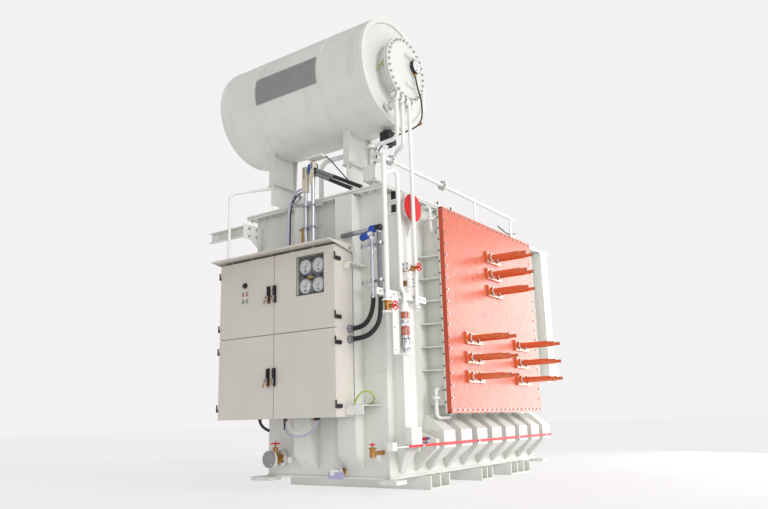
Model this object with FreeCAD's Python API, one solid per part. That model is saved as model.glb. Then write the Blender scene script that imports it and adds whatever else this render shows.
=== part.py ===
import FreeCAD, Part
import math
import os

# Furnace power transformer: oil tank, conservator on top, control cubicle on the front (-Y),
# low-voltage terminal panel on the right side (+X).  All sizes are in millimetres.
#
# Everything is placed from the tank's front right bottom corner: X to the right along the
# cubicle, Y to the back along the tank, Z up.  The last step moves the whole model so that
# the origin is at the middle of its base.

V = FreeCAD.Vector
os.makedirs("parts", exist_ok=True)

# ---------------------------------------------------------------- driving dimensions
# tank
TANK_W = 1936.0          # upper tank, across (X)
TANK_L = 4500.0          # upper tank, front to back (Y)
TANK_H = 3084.0          # walls, floor to rim
STEP_W = 228.0           # the lower tank is narrower by this on the left
STEP_L = 880.0           # and shorter by this at the back
STEP_Z = 1080.0          # height of the step
WALL_T = 12.0
FLOOR_T = 20.0
RIM_OUT = 96.0           # rim flange beyond the walls
RIM_T = 24.0
COVER_T = 24.0
SKID_H = 165.0
SKID_OUT = 145.0         # skid ends beyond the walls
SKID_W = (410.0, 300.0, 600.0)
SKID_Y = (555.0, 1720.0, 2540.0)

# front wall stiffeners
ST_DEPTH = 150.0
ST_W = 240.0
ST_X = (-1182.0, -556.0)  # left edges
ST_FOOT = 70.0            # lowest point of the sloped foot
ST_SLOPE = 160.0          # height of the sloped foot

# right side: corner post, ribs, rail
POST_D = 141.0
POST_Y0 = 105.0
POST_Y1 = 337.0
REAR_POST = (395.0, 165.0)   # rear post, distances from the tank's rear end
RIB_N = 8
RIB_PITCH = 385.0
RIB_Y0 = 760.0            # centre of the first rib
RIB_W = 250.0
RIB_D = 285.0
RAIL_Z = 300.0
RAIL_H = 26.0
RAIL_T = 14.0
RAIL_Y0 = -60.0
RAIL_Y1 = 3600.0

# lifting trunnions
DISC_R = 160.0
DISC_T = 16.0
DISC_X = 221.0           # inner face of the right disc from the wall
LEFT_DISC_X = 95.0       # and of the left one
DISC_Y = 268.0
DISC_Z = 2892.0
TRUNNION_R = 110.0
LEFT_ST_D = 90.0         # left wall stiffeners
LEFT_ST_Y0 = 520.0
LEFT_ST_N = 5

# turret and terminal panel
TUR_Y0 = 749.0
TUR_Y1 = 3240.0
TUR_Z0 = 629.0
TUR_Z1 = 3003.0
TUR_INSET = 91.0          # body inside the frame
TUR_D = 255.0             # body depth
FRAME_T = 20.0
PANEL_T = 56.0
SHELF_N = 6
SHELF_Z0 = 1102.0
SHELF_PITCH = 264.0
SHELF_D = 150.0

# copper terminals
PLATE_W = 400.0
PLATE_H = 140.0
PLATE_T = 25.0
TERM_UP_Y = 1975.0
TERM_UP_Z = (2572.0, 2354.0, 2134.0)
TERM_LO_Y = (1325.0, 2665.0)
TERM_LO_Z = (1490.0, 1262.0, 1040.0)
TUBE_R = 30.0
TUBE_L = 400.0
TUBE_GAP = 200.0          # centre distance of a pair
NIP_R = 21.0
NIP_L = 90.0

# control cubicle
CUB_X0 = -2068.0
CUB_X1 = -315.0
CUB_Y0 = -470.0           # front face of the doors
CUB_D = 300.0
CUB_Z0 = 620.0
CUB_H = 1810.0
CUB_T = 3.0
DOOR_T = 30.0
DOOR_GAP = 8.0
SPLIT_Z = 1535.0
SPLIT_X = -1191.0
MID_W = 40.0              # middle rails of the shell
HOOD_SIDE = 27.0          # hood beyond the shell at the sides
HOOD_FRONT = 137.0        # and beyond the doors
HOOD_T = 8.0
HOOD_GAP = 30.0
HOOD_CHEEK = 90.0         # height of the side cheeks at the back
STANDOFF_X0 = 146.0       # first standoff from the shell's left side
STANDOFF_PITCH = 316.0

# conservator
CON_Y = 363.0
CON_Z = 4659.0
CON_R = 684.0
CON_X0 = -2316.0
CON_X1 = -23.0
CON_T = 8.0
END_T = 14.0
NECK_R = 330.0
NECK_L = 120.0
HATCH_R = 396.0
HATCH_T = 25.0
SADDLE_X = (-1890.0, -655.0)
SADDLE_T = 120.0
SADDLE_HALF = 208.0
SADDLE_Z = 3576.0
ARM_Z0 = 3305.0

parts = {}


def put(name, *shapes):
    """Add solids to a node."""
    parts.setdefault(name, []).extend(shapes)


def box(x0, x1, y0, y1, z0, z1):
    return Part.makeBox(x1 - x0, y1 - y0, z1 - z0, V(x0, y0, z0))


def rod(r, p, q):
    """Round bar from point p to point q."""
    a, b = V(*p), V(*q)
    return Part.makeCylinder(r, (b - a).Length, a, b - a)


def ring(r1, r0, p, q):
    a, b = V(*p), V(*q)
    d = b - a
    return Part.makeCylinder(r1, d.Length, a, d).cut(Part.makeCylinder(r0, d.Length, a, d))


def plate(pts, d):
    """Flat plate: polygon pushed along the vector d."""
    w = Part.makePolygon([V(*p) for p in pts] + [V(*pts[0])])
    return Part.Face(w).extrude(V(*d))


def taper(low, high):
    """Solid between two rectangles (x0, x1, y0, y1, z)."""
    wires = []
    for x0, x1, y0, y1, z in (low, high):
        c = [V(x0, y0, z), V(x1, y0, z), V(x1, y1, z), V(x0, y1, z)]
        wires.append(Part.makePolygon(c + [c[0]]))
    return Part.makeLoft(wires, True, True)


def route(pts, bends):
    """Wire of straight runs joined by tangent arcs; bends is one radius or a list."""
    p = [V(*a) for a in pts]
    if not isinstance(bends, (list, tuple)):
        bends = [bends] * (len(p) - 2)
    edges, last = [], p[0]
    for i in range(1, len(p) - 1):
        u = (p[i - 1] - p[i]).normalize()
        w = (p[i + 1] - p[i]).normalize()
        half = math.acos(max(-1.0, min(1.0, u.dot(w)))) / 2
        r = bends[i - 1]
        back = r / math.tan(half)
        a, b = p[i] + u * back, p[i] + w * back
        m = (u + w).normalize()
        mid = p[i] + m * (r / math.sin(half) - r)
        if (a - last).Length > 1e-6:
            edges.append(Part.LineSegment(last, a).toShape())
        edges.append(Part.Arc(a, mid, b).toShape())
        last = b
    edges.append(Part.LineSegment(last, p[-1]).toShape())
    return Part.Wire(edges)


def pipe(r, pts, bends):
    """Solid round bar along a route."""
    if len(pts) == 2:
        return rod(r, pts[0], pts[1])
    w = route(pts, bends)
    d = V(*pts[1]) - V(*pts[0])
    c = Part.Wire(Part.makeCircle(r, V(*pts[0]), d))
    return w.makePipeShell([c], True, False)


def soft_radii(pts):
    """Bend radii of a flexible conduit: 0.45 of the shorter run over tan(half the turn)."""
    out = []
    for i in range(1, len(pts) - 1):
        a, b, c = V(*pts[i - 1]), V(*pts[i]), V(*pts[i + 1])
        turn = (b - a).getAngle(c - b)
        out.append(0.45 * min((b - a).Length, (c - b).Length) / math.tan(turn / 2))
    return out


def fuse(*s):
    f = s[0].multiFuse(list(s[1:])).removeSplitter()
    return f


# ---------------------------------------------------------------- tank
low_w = TANK_W - STEP_W
low_l = TANK_L - STEP_L
t = WALL_T
put("tank_lower_walls",
    box(-low_w, 0, 0, low_l, 0, STEP_Z - t).cut(
        box(-low_w + t, -t, t, low_l - t, 0, STEP_Z - t)))
put("tank_step_plate",
    box(-TANK_W, 0, 0, TANK_L, STEP_Z - t, STEP_Z).cut(
        box(-low_w + t, -t, t, low_l - t, STEP_Z - t, STEP_Z)))
put("tank_upper_walls",
    box(-TANK_W, 0, 0, TANK_L, STEP_Z, TANK_H).cut(
        box(-TANK_W + t, -t, t, TANK_L - t, STEP_Z, TANK_H)))
put("tank_floor", box(-low_w - 15, 15, -15, low_l + 15, -FLOOR_T, 0))
put("tank_rim",
    box(-TANK_W - RIM_OUT, RIM_OUT, -RIM_OUT, TANK_L + RIM_OUT, TANK_H, TANK_H + RIM_T).cut(
        box(-TANK_W + t, -t, t, TANK_L - t, TANK_H, TANK_H + RIM_T)))
cov0 = TANK_H + RIM_T
COVER_Z = cov0 + COVER_T
put("tank_cover",
    box(-TANK_W - RIM_OUT, RIM_OUT, -RIM_OUT, TANK_L + RIM_OUT, cov0, COVER_Z))

# skids across the tank, with end ribs
skid_z0 = -FLOOR_T - SKID_H + 20
for y0, w in zip(SKID_Y, SKID_W):
    xa, xb = -low_w - SKID_OUT - 20, SKID_OUT
    hull = box(xa, xb, y0, y0 + w, skid_z0, -FLOOR_T)
    for x0, x1 in ((xa, xa + 170), (xb - 170, xb)):
        n = max(1, int(round(w / 200)))
        cell = (w - 20.0) / n
        for k in range(n):
            hull = hull.cut(box(x0, x1, y0 + 20 + k * cell, y0 + (k + 1) * cell,
                                skid_z0 + 20, -FLOOR_T))
    put("skids", hull)

# jacking pads at the four bottom corners
for x0, x1 in ((-low_w - 170, -low_w + 135), (-50, 160)):
    for y0, y1 in ((-120, 70), (low_l - 70, low_l + 120)):
        put("jacking_pads", box(x0, x1, y0, y1, -FLOOR_T - 40, -FLOOR_T))

# front and rear wall box stiffeners with sloped feet
for x0 in ST_X:
    for s, yw, top in ((-1, 0.0, TANK_H), (1, TANK_L, TANK_H)):
        zf = ST_FOOT if s < 0 else STEP_Z + 20
        prof = [(x0, yw, zf), (x0, yw + s * ST_DEPTH, zf + ST_SLOPE),
                (x0, yw + s * ST_DEPTH, top - 20), (x0, yw, top - 20)]
        put("wall_stiffeners", plate(prof, (ST_W, 0, 0)))

# left wall stiffeners (upper tank only)
left_pitch = (TANK_L - 2 * LEFT_ST_Y0 - ST_W) / (LEFT_ST_N - 1)
for k in range(LEFT_ST_N):
    y0 = LEFT_ST_Y0 + k * left_pitch
    prof = [(-TANK_W, y0, STEP_Z + 20), (-TANK_W - LEFT_ST_D, y0, STEP_Z + 20 + ST_SLOPE),
            (-TANK_W - LEFT_ST_D, y0, TANK_H - 20), (-TANK_W, y0, TANK_H - 20)]
    put("wall_stiffeners", plate(prof, (0, ST_W, 0)))

# corner post on the right side, with a tapered foot
post = box(0, POST_D, POST_Y0, POST_Y1, RAIL_Z - 20, TANK_H - 20)
foot = taper((0, 12, POST_Y0 + 70, POST_Y1 - 70, 35),
             (0, POST_D, POST_Y0, POST_Y1, RAIL_Z - 20))
put("side_posts", fuse(post, foot))
# rear post of the same form, on the upper tank
put("side_posts", box(0, POST_D, TANK_L - REAR_POST[0], TANK_L - REAR_POST[1], STEP_Z + 20, TANK_H - 20))

# ribs of the right side below the panel: they taper down to the base and up to the wall
tur_bot = TUR_Z0 - 4
for k in range(RIB_N):
    yc = RIB_Y0 + k * RIB_PITCH
    h = RIB_W / 2
    low = taper((0, 14, yc - 26, yc + 26, 32), (0, RIB_D, yc - h, yc + h, RAIL_Z - 30))
    mid = box(0, RIB_D, yc - h, yc + h, RAIL_Z - 30, RAIL_Z + 150)
    up = taper((0, RIB_D, yc - h, yc + h, RAIL_Z + 150),
               (0, 60, yc - h + 60, yc + h - 60, tur_bot - 5))
    put("side_ribs", fuse(low, mid, up))
put("side_ribs", plate([(0, 470, 32), (RIB_D, 470, RAIL_Z - 30), (RIB_D, 470, RAIL_Z + 60),
                        (0, 470, RAIL_Z + 160)], (0, 60, 0)))

# rail along the ribs
put("red_rail", box(RIB_D, RIB_D + RAIL_T, RAIL_Y0, RAIL_Y1, RAIL_Z, RAIL_Z + RAIL_H))
put("side_ribs", box(POST_D, RIB_D, POST_Y0 + 20, POST_Y0 + 40, RAIL_Z - 40, RAIL_Z + RAIL_H),
    box(RIB_D - 55, RIB_D + RAIL_T, -35, 165, RAIL_Z + RAIL_H, RAIL_Z + RAIL_H + 174))

# lifting trunnions near the front of both long sides: tube, end disc and gusset; the right one
# passes through the corner post
post_room = box(0, POST_D, POST_Y0, POST_Y1, 0, TANK_H)
for side, wall, reach, root in ((1, 0.0, DISC_X, POST_D), (-1, -TANK_W, LEFT_DISC_X, 0.0)):
    tip = wall + side * reach
    g0 = wall + side * root
    tube = rod(TRUNNION_R, (wall, DISC_Y, DISC_Z), (tip, DISC_Y, DISC_Z))
    gusset = plate([(g0, DISC_Y - 6, DISC_Z), (tip, DISC_Y - 6, DISC_Z),
                    (tip, DISC_Y - 6, DISC_Z - DISC_R), (g0, DISC_Y - 6, DISC_Z - 2.1 * DISC_R)], (0, 12, 0))
    put("trunnion_tubes", fuse(tube, gusset).cut(post_room))
    put("trunnion_discs", rod(DISC_R, (tip, DISC_Y, DISC_Z), (tip + side * DISC_T, DISC_Y, DISC_Z)))

# ---------------------------------------------------------------- turret and panel
yi0, yi1 = TUR_Y0 + TUR_INSET, TUR_Y1 - TUR_INSET
zi0, zi1 = TUR_Z0 + TUR_INSET, TUR_Z1 - TUR_INSET
turret = []
turret.append(
    box(0, TUR_D, yi0, yi1, zi0, zi1).cut(box(0, TUR_D, yi0 + 12, yi1 - 12, zi0 + 12, zi1 - 12)))
turret.append(
    box(TUR_D, TUR_D + FRAME_T, TUR_Y0, TUR_Y1, TUR_Z0, TUR_Z1).cut(
        box(TUR_D, TUR_D + FRAME_T, yi0 + 12, yi1 - 12, zi0 + 12, zi1 - 12)))
for k in range(SHELF_N):
    z = SHELF_Z0 + k * SHELF_PITCH
    for ya, yb, yc in ((yi0, TUR_Y0, yi0 - SHELF_D), (yi1, TUR_Y1, yi1 + SHELF_D)):
        prof = [(0, ya, z), (TUR_D, ya, z), (TUR_D, yb, z), (0, yc, z)]
        put("turret_shelves", plate(prof, (0, 0, 12)))
put("turret", fuse(*turret))
pan_x0 = TUR_D + FRAME_T
pan_x1 = pan_x0 + PANEL_T
put("terminal_panel", box(pan_x0, pan_x1, TUR_Y0, TUR_Y1, TUR_Z0, TUR_Z1))

centres = [(TERM_UP_Y, z) for z in TERM_UP_Z]
centres += [(y, z) for y in TERM_LO_Y for z in TERM_LO_Z]
for y, z in centres:
    term = [box(pan_x1, pan_x1 + PLATE_T, y - PLATE_W / 2, y + PLATE_W / 2,
                z - PLATE_H / 2, z + PLATE_H / 2)]
    x = pan_x1 + PLATE_T
    for s in (-0.5, 0.5):
        c = y + s * TUBE_GAP
        term += [rod(TUBE_R + 12, (x, c, z), (x + 30, c, z)),
                 rod(TUBE_R, (x + 30, c, z), (x + TUBE_L, c, z)),
                 rod(TUBE_R - 4, (x + TUBE_L, c, z), (x + TUBE_L + 18, c, z)),
                 rod(NIP_R, (x + TUBE_L + 18, c, z), (x + TUBE_L + NIP_L, c, z))]
    put("terminals", fuse(*term))

# ---------------------------------------------------------------- control cubicle
cy0 = CUB_Y0 + DOOR_T + 2          # front edge of the shell
cy1 = CUB_Y0 + CUB_D
cz0, cz1 = CUB_Z0, CUB_Z0 + CUB_H
ct = CUB_T
put("cubicle_back", box(CUB_X0, CUB_X1, cy1 - ct, cy1, cz0, cz1))
put("cubicle_sides", box(CUB_X0, CUB_X0 + ct, cy0, cy1 - ct, cz0, cz1))
put("cubicle_sides", box(CUB_X1 - ct, CUB_X1, cy0, cy1 - ct, cz0, cz1))
put("cubicle_top_and_floor", box(CUB_X0 + ct, CUB_X1 - ct, cy0, cy1 - ct, cz1 - ct, cz1))
put("cubicle_top_and_floor", box(CUB_X0 + ct, CUB_X1 - ct, cy0, cy1 - ct, cz0, cz0 + ct))
put("cubicle_mid_rail",
    box(CUB_X0 + ct, CUB_X1 - ct, cy0, cy0 + 12, SPLIT_Z - MID_W / 2, SPLIT_Z + MID_W / 2))

# hood on short standoffs, with a three-cornered cheek at each end
hx0, hx1 = CUB_X0 - HOOD_SIDE, CUB_X1 + HOOD_SIDE
hy0, hy1 = CUB_Y0 - HOOD_FRONT, cy1 + 20
hz = cz1 + HOOD_GAP
HOOD_TOP = hz + HOOD_T
hood_set = [box(hx0, hx1, hy0, hy1, hz, HOOD_TOP)]
for x in (hx0, hx1 - CUB_T):
    hood_set.append(plate([(x, hy0, hz), (x, hy1, hz), (x, hy1, hz - HOOD_CHEEK)], (CUB_T, 0, 0)))
for k in range(5):
    x = CUB_X0 + STANDOFF_X0 + k * STANDOFF_PITCH
    for y in (cy0 + 25, cy1 - 25):
        hood_set.append(box(x - 12, x + 12, y - 8, y + 8, cz1, hz))
put("cubicle_hood", fuse(*hood_set))

# doors, hung on their outer edges
g = DOOR_GAP
doors = {
    "door_upper_left": (CUB_X0, SPLIT_X - g / 2, SPLIT_Z + g / 2, cz1, 1),
    "door_upper_right": (SPLIT_X + g / 2, CUB_X1, SPLIT_Z + g / 2, cz1, -1),
    "door_lower_left": (CUB_X0, SPLIT_X - g / 2, cz0, SPLIT_Z - g / 2, 1),
    "door_lower_right": (SPLIT_X + g / 2, CUB_X1, cz0, SPLIT_Z - g / 2, -1),
}
WIN = (-847.0, -472.0, 1930.0, 2353.0)
HINGE_R = 9.0
hinge_y = CUB_Y0 - HINGE_R
joints = []
handle_joints = []
for name, (x0, x1, z0, z1, hand) in doors.items():
    d = box(x0, x1, CUB_Y0, CUB_Y0 + DOOR_T, z0, z1)
    if name == "door_upper_right":
        d = d.cut(box(WIN[0], WIN[1], CUB_Y0, CUB_Y0 + DOOR_T, WIN[2], WIN[3]))
        put("gauge_window", box(WIN[0], WIN[1], CUB_Y0 + 8, CUB_Y0 + 12, WIN[2], WIN[3]))
    put(name, d)
    hx = x0 if hand > 0 else x1
    # hinge barrels: the door carries the upper half of each, the shell the lower half
    out = -HINGE_R if hand > 0 else HINGE_R
    px = hx + out
    for zc in (z0 + 130, z1 - 130):
        for za, zb, node in ((zc - 40, zc - 0.5, "hinge_lugs"), (zc, zc + 40, name)):
            barrel = rod(HINGE_R, (px, hinge_y, za), (px, hinge_y, zb))
            if node == name:
                leaf = box(min(px, px - out * 1.9), max(px, px - out * 1.9),
                           hinge_y - 3, CUB_Y0, za, zb)
                parts[name] = [fuse(parts[name][0], barrel, leaf)]
            else:
                # arm from the barrel back to the shell side
                xs = (px - 7, hx - 5) if hand > 0 else (hx + 5, px + 7)
                foot = (hx - 5, hx) if hand > 0 else (hx, hx + 5)
                put(node, fuse(barrel, box(xs[0], xs[1], hinge_y, cy0 + 60, za, zb),
                               box(foot[0], foot[1], cy0, cy0 + 60, za, zb)))
    joints.append((name, (px, hinge_y, (z0 + z1) / 2), hand))

# swing handles at the middle, pivot at the top
HAND_Z = (2070.0, 1149.0)
HAND_L = 190.0
for tag, x, zt in (("upper_left", SPLIT_X - 71, HAND_Z[0]), ("upper_right", SPLIT_X + 20, HAND_Z[0]),
                   ("lower_left", SPLIT_X - 71, HAND_Z[1]), ("lower_right", SPLIT_X + 20, HAND_Z[1])):
    y = CUB_Y0
    base = box(x - 14, x + 14, y - 10, y, zt - HAND_L + 10, zt + 15)
    parts["door_" + tag] = [fuse(parts["door_" + tag][0], base)]
    grip = fuse(rod(13, (x, y - 24, zt), (x, y - 10.3, zt)),
                box(x - 11, x + 11, y - 38, y - 24, zt - HAND_L + 20, zt + 11))
    put("handle_" + tag, grip)
    handle_joints.append(("handle_" + tag, (x, y - 24, zt)))

# ---------------------------------------------------------------- instruments of the cubicle
board = [box(WIN[0] - 20, WIN[1] + 20, CUB_Y0 + 70, CUB_Y0 + 76, WIN[2] - 20, WIN[3] + 20),
    box(WIN[0] - 20, WIN[0] - 8, CUB_Y0 + 76, cy1 - ct, WIN[2] - 20, WIN[3] + 20),
    box(WIN[1] + 8, WIN[1] + 20, CUB_Y0 + 76, cy1 - ct, WIN[2] - 20, WIN[3] + 20)]
for x in (-752.0, -566.0):
    for z in (2242.0, 2025.0):
        board.append(rod(85, (x, CUB_Y0 + 40, z), (x, CUB_Y0 + 70, z)))
put("gauge_cluster", fuse(*board))
SEL = (-1650.0, 2141.0)
put("selector_knob", rod(22, (SEL[0], CUB_Y0 - 30, SEL[1]), (SEL[0], CUB_Y0 - 0.5, SEL[1])))
for x, z in ((-1683, 2030), (-1620, 2030), (-1683, 1946), (-1620, 1946)):
    put("lamps", rod(14, (x, CUB_Y0 - 14, z), (x, CUB_Y0, z)))

# brackets that carry the cubicle on the front stiffeners and the wall
for x0 in (ST_X[0] + 40, ST_X[1] + 40):
    for z in (780.0, 2240.0):
        put("cubicle_brackets", box(x0, x0 + 160, cy1, -ST_DEPTH, z, z + 60))
# side bracket at the lower right: channel from the wall past the cubicle
put("cubicle_brackets", box(CUB_X1, CUB_X1 + 235, -320, -312, 640, 735),
    box(CUB_X1, CUB_X1 + 235, -312, 0, 727, 735))
put("cubicle_brackets", box(CUB_X1, CUB_X1 + 90, -320, 0, 2235, 2245))

# ---------------------------------------------------------------- conservator
ca = (CON_X0 + END_T, CON_Y, CON_Z)
cb = (CON_X1 - END_T, CON_Y, CON_Z)
put("conservator_shell", ring(CON_R, CON_R - CON_T, ca, cb))
put("conservator_left_end", ring(CON_R, CON_R - 60, (CON_X0 - 16, CON_Y, CON_Z), (CON_X0, CON_Y, CON_Z)),
    rod(CON_R, (CON_X0, CON_Y, CON_Z), ca))
parts["conservator_left_end"] = [fuse(*parts["conservator_left_end"])]
nk1 = CON_X1 + NECK_L
put("conservator_right_end",
    fuse(ring(CON_R, NECK_R - 10, cb, (CON_X1, CON_Y, CON_Z)),
         ring(CON_R, CON_R - 60, (CON_X1, CON_Y, CON_Z), (CON_X1 + 16, CON_Y, CON_Z)),
         ring(NECK_R, NECK_R - 10, (CON_X1, CON_Y, CON_Z), (nk1, CON_Y, CON_Z)),
         ring(HATCH_R, NECK_R - 10, (nk1, CON_Y, CON_Z), (nk1 + HATCH_T, CON_Y, CON_Z))))
hx = nk1 + HATCH_T
put("conservator_hatch", rod(HATCH_R, (hx, CON_Y, CON_Z), (hx + HATCH_T, CON_Y, CON_Z)))
HF = hx + HATCH_T
put("level_gauge", rod(85, (HF, CON_Y + 150, CON_Z + 85), (HF + 60, CON_Y + 150, CON_Z + 85)))

# saddles on arms that stand on the cover
shell_solid = rod(CON_R, (CON_X0, CON_Y, CON_Z), (CON_X1, CON_Y, CON_Z))
for x0 in SADDLE_X:
    a, b = CON_Y - SADDLE_HALF, CON_Y + SADDLE_HALF
    web = box(x0 + 50, x0 + 62, a, b, SADDLE_Z + 14, CON_Z)
    front = plate([(x0, a - 12, SADDLE_Z + 14), (x0 + SADDLE_T - 40, a - 12, SADDLE_Z + 14),
                   (x0 + SADDLE_T, a - 12, CON_Z - 380), (x0, a - 12, CON_Z - 380)], (0, 12, 0))
    back = plate([(x0, b, SADDLE_Z + 14), (x0 + SADDLE_T - 40, b, SADDLE_Z + 14),
                  (x0 + SADDLE_T, b, CON_Z - 380), (x0, b, CON_Z - 380)], (0, 12, 0))
    foot_pl = box(x0 - 10, x0 + SADDLE_T, a - 12, b + 12, SADDLE_Z, SADDLE_Z + 14)
    put("saddles", fuse(web, front, back, foot_pl).cut(shell_solid))
    xl, xr = x0 + 60, x0 + 72
    arm = fuse(box(xl, xr, a - 30, b + 250, ARM_Z0, SADDLE_Z - 12),
               box(x0 - 10, xr, a - 30, b + 250, SADDLE_Z - 12, SADDLE_Z),
               box(xl, xr, a + 120, b + 250, COVER_Z, ARM_Z0),
               box(x0 - 10, xr + 60, a + 120, b + 250, COVER_Z, COVER_Z + 12))
    put("saddle_arms", arm)

# ---------------------------------------------------------------- pipework
PIPE_R = 24.0
BOT = CON_Z - CON_R


def flange(r, t, p, axis):
    """Disc centred on p."""
    a = V(*axis)
    c = V(*p) - a * (t / 2)
    return Part.makeCylinder(r, t, c, a)


# oil line: from the conservator's underside through the relay to the run along the cover
OIL = (-150.0, 43.0)
RUN_X, RUN_Z, RUN_Y1 = 40.0, 3465.0, 3380.0
oil = pipe(PIPE_R, [(OIL[0], CON_Y, BOT), (OIL[0], CON_Y, BOT - 240), (OIL[0], OIL[1], BOT - 240),
                    (OIL[0], OIL[1], RUN_Z), (RUN_X, OIL[1], RUN_Z), (RUN_X, RUN_Y1, RUN_Z)],
           [70, 70, 70, 70, 70])
oil_set = [fuse(
    oil,
    flange(62, 36, (OIL[0], OIL[1], RUN_Z + 175), (0, 0, 1)),
    flange(62, 36, (RUN_X, OIL[1] + 95, RUN_Z), (0, 1, 0)),
    flange(62, 36, (RUN_X, 1300, RUN_Z), (0, 1, 0)),
    rod(PIPE_R, (OIL[0], OIL[1], COVER_Z), (OIL[0], OIL[1], RUN_Z)),
    flange(75, 24, (OIL[0], OIL[1], COVER_Z + 12), (0, 0, 1)),
    box(OIL[0] - 75, OIL[0] + 75, OIL[1] - 75, OIL[1] + 75, RUN_Z - 250, RUN_Z - 60),
    box(OIL[0] - 60, OIL[0] + 70, CON_Y - 75, CON_Y + 75, BOT - 200, BOT - 50))]
for y in (2150.0, 3280.0):
    oil_set.append(fuse(box(RUN_X - 5, RUN_X + 5, y - 30, y + 30, COVER_Z, RUN_Z - PIPE_R),
                             box(RUN_X - 45, RUN_X + 45, y - 45, y + 45, COVER_Z, COVER_Z + 10)))
for y in (1130.0, 1460.0):
    oil_set.append(plate([(RUN_X - 6, y - 70, COVER_Z), (RUN_X - 6, y + 70, COVER_Z),
                               (RUN_X - 6, y + 45, COVER_Z + 90), (RUN_X - 6, y - 45, COVER_Z + 90)],
                              (14, 0, 0)))
oil_set.append(plate([(RUN_X - 120, 3360, COVER_Z), (RUN_X - 120, 3700, COVER_Z),
                           (RUN_X - 120, 3560, COVER_Z + 150), (RUN_X - 120, 3440, COVER_Z + 150)],
                          (40, 0, 0)))
put("oil_line", fuse(*oil_set[:3]), *oil_set[3:])

# manifold below the hatch, with its three down pipes
MAN_X, MAN_Z = 230.0, 4150.0
MAN_Y = (0.0, 120.0, 198.0)
DOWN_X = 275.0           # pipes beside the corner post
RACK_Z = 1849.0
P3_Z = 1755.0
d1 = pipe(PIPE_R, [(MAN_X, MAN_Y[0], MAN_Z), (MAN_X, MAN_Y[0], 3650), (OIL[0], OIL[1], 3650)], [80])
d2 = pipe(PIPE_R, [(MAN_X, MAN_Y[1], MAN_Z), (MAN_X, MAN_Y[1], RUN_Z + 130),
                   (RUN_X, MAN_Y[1] + 120, RUN_Z + 130), (RUN_X, MAN_Y[1] + 120, RUN_Z)], [70, 70])
d3 = pipe(PIPE_R - 2, [(DOWN_X, MAN_Y[2], MAN_Z), (DOWN_X, MAN_Y[2], P3_Z)], 0)
man = rod(PIPE_R + 6, (MAN_X + 5, -60, MAN_Z), (MAN_X + 5, 330, MAN_Z))
stub = rod(PIPE_R + 6, (CON_X1, 160, MAN_Z), (MAN_X, 160, MAN_Z))
flg = [flange(58, 44, (MAN_X + 5, y, MAN_Z), (0, 1, 0)) for y in (-45, 60, 160, 275)]
fl_end = flange(55, 40, (CON_X1 + 36, 160, MAN_Z), (1, 0, 0))
plug = fuse(flange(40, 18, (DOWN_X, MAN_Y[2], P3_Z - 9), (0, 0, 1)),
            rod(16, (DOWN_X, MAN_Y[2], P3_Z - 50), (DOWN_X, MAN_Y[2], P3_Z - 12)))
put("down_pipes", fuse(man, stub, fl_end, d1, d2, d3, plug, *flg).cut(parts["oil_line"][0]))

# side rack: bar on the corner post, air pipe, drain pipe with valve, breather
BAR_X = DOWN_X - PIPE_R - 2
PA_Y, PB_Y, BR_Y = -353.0, -97.0, -40.0
BZ1, BZ0 = 1768.0, 1235.0
BAR_H = 34.0
put("pipe_rack", fuse(
    box(BAR_X - 10, BAR_X, -223, -116, BZ0 - 10, RACK_Z),
    box(BAR_X - 10, DOWN_X + 57, -165, BR_Y + 58, BZ0 - 10, BZ0),
    box(BAR_X - 10, BAR_X, -493, 434, RACK_Z - BAR_H, RACK_Z + BAR_H),
    box(POST_D, BAR_X - 10, POST_Y0 + 30, POST_Y0 + 42, RACK_Z - 30, RACK_Z + 30),
    box(POST_D, BAR_X - 10, POST_Y1 - 42, POST_Y1 - 30, RACK_Z - 30, RACK_Z + 30),
    box(0, BAR_X - 10, 8, 20, RACK_Z - 30, RACK_Z + 30)))
V1_Z = 1700.0
side = fuse(
    pipe(PIPE_R, [(OIL[0] + 20, OIL[1], RUN_Z + 80), (OIL[0] + 120, OIL[1] - 90, RUN_Z + 55),
                  (DOWN_X, PA_Y, 3320), (DOWN_X, PA_Y, V1_Z + 65)], [60, 60]),
    pipe(PIPE_R - 2, [(DOWN_X, PA_Y, 3125), (DOWN_X, PB_Y, 3245), (DOWN_X, PB_Y, BZ1 + 170),
                      (DOWN_X, BR_Y, BZ1 + 100), (DOWN_X, BR_Y, BZ1)], [70, 40, 40]))
put("side_pipes", side.cut(parts["oil_line"][0]))
put("valve_bodies", fuse(
    flange(55, 18, (DOWN_X, PA_Y, V1_Z + 56), (0, 0, 1)),
    flange(55, 18, (DOWN_X, PA_Y, V1_Z - 56), (0, 0, 1)),
    rod(32, (DOWN_X, PA_Y, V1_Z - 50), (DOWN_X, PA_Y, V1_Z + 50)),
    rod(20, (DOWN_X, PA_Y, V1_Z), (DOWN_X + 65, PA_Y, V1_Z)),
    rod(8, (DOWN_X + 65, PA_Y, V1_Z), (DOWN_X + 118, PA_Y, V1_Z))))

# breather under the air pipe: cap, two glass cylinders with rings between, oil cup
put("breather", fuse(
    rod(40, (DOWN_X, BR_Y, BZ1 - 59), (DOWN_X, BR_Y, BZ1)),
    rod(46, (DOWN_X, BR_Y, BZ0 + 14), (DOWN_X, BR_Y, BZ1 - 59)),
    rod(50, (DOWN_X, BR_Y, BZ1 - 96), (DOWN_X, BR_Y, BZ1 - 59)),
    rod(50, (DOWN_X, BR_Y, BZ1 - 215), (DOWN_X, BR_Y, BZ1 - 185)),
    rod(50, (DOWN_X, BR_Y, BZ1 - 376), (DOWN_X, BR_Y, BZ1 - 346)),
    rod(52, (DOWN_X, BR_Y, BZ0 + 14), (DOWN_X, BR_Y, BZ0 + 152)),
    box(DOWN_X - 52, DOWN_X + 52, BR_Y - 52, BR_Y + 52, BZ0, BZ0 + 14)))


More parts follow.
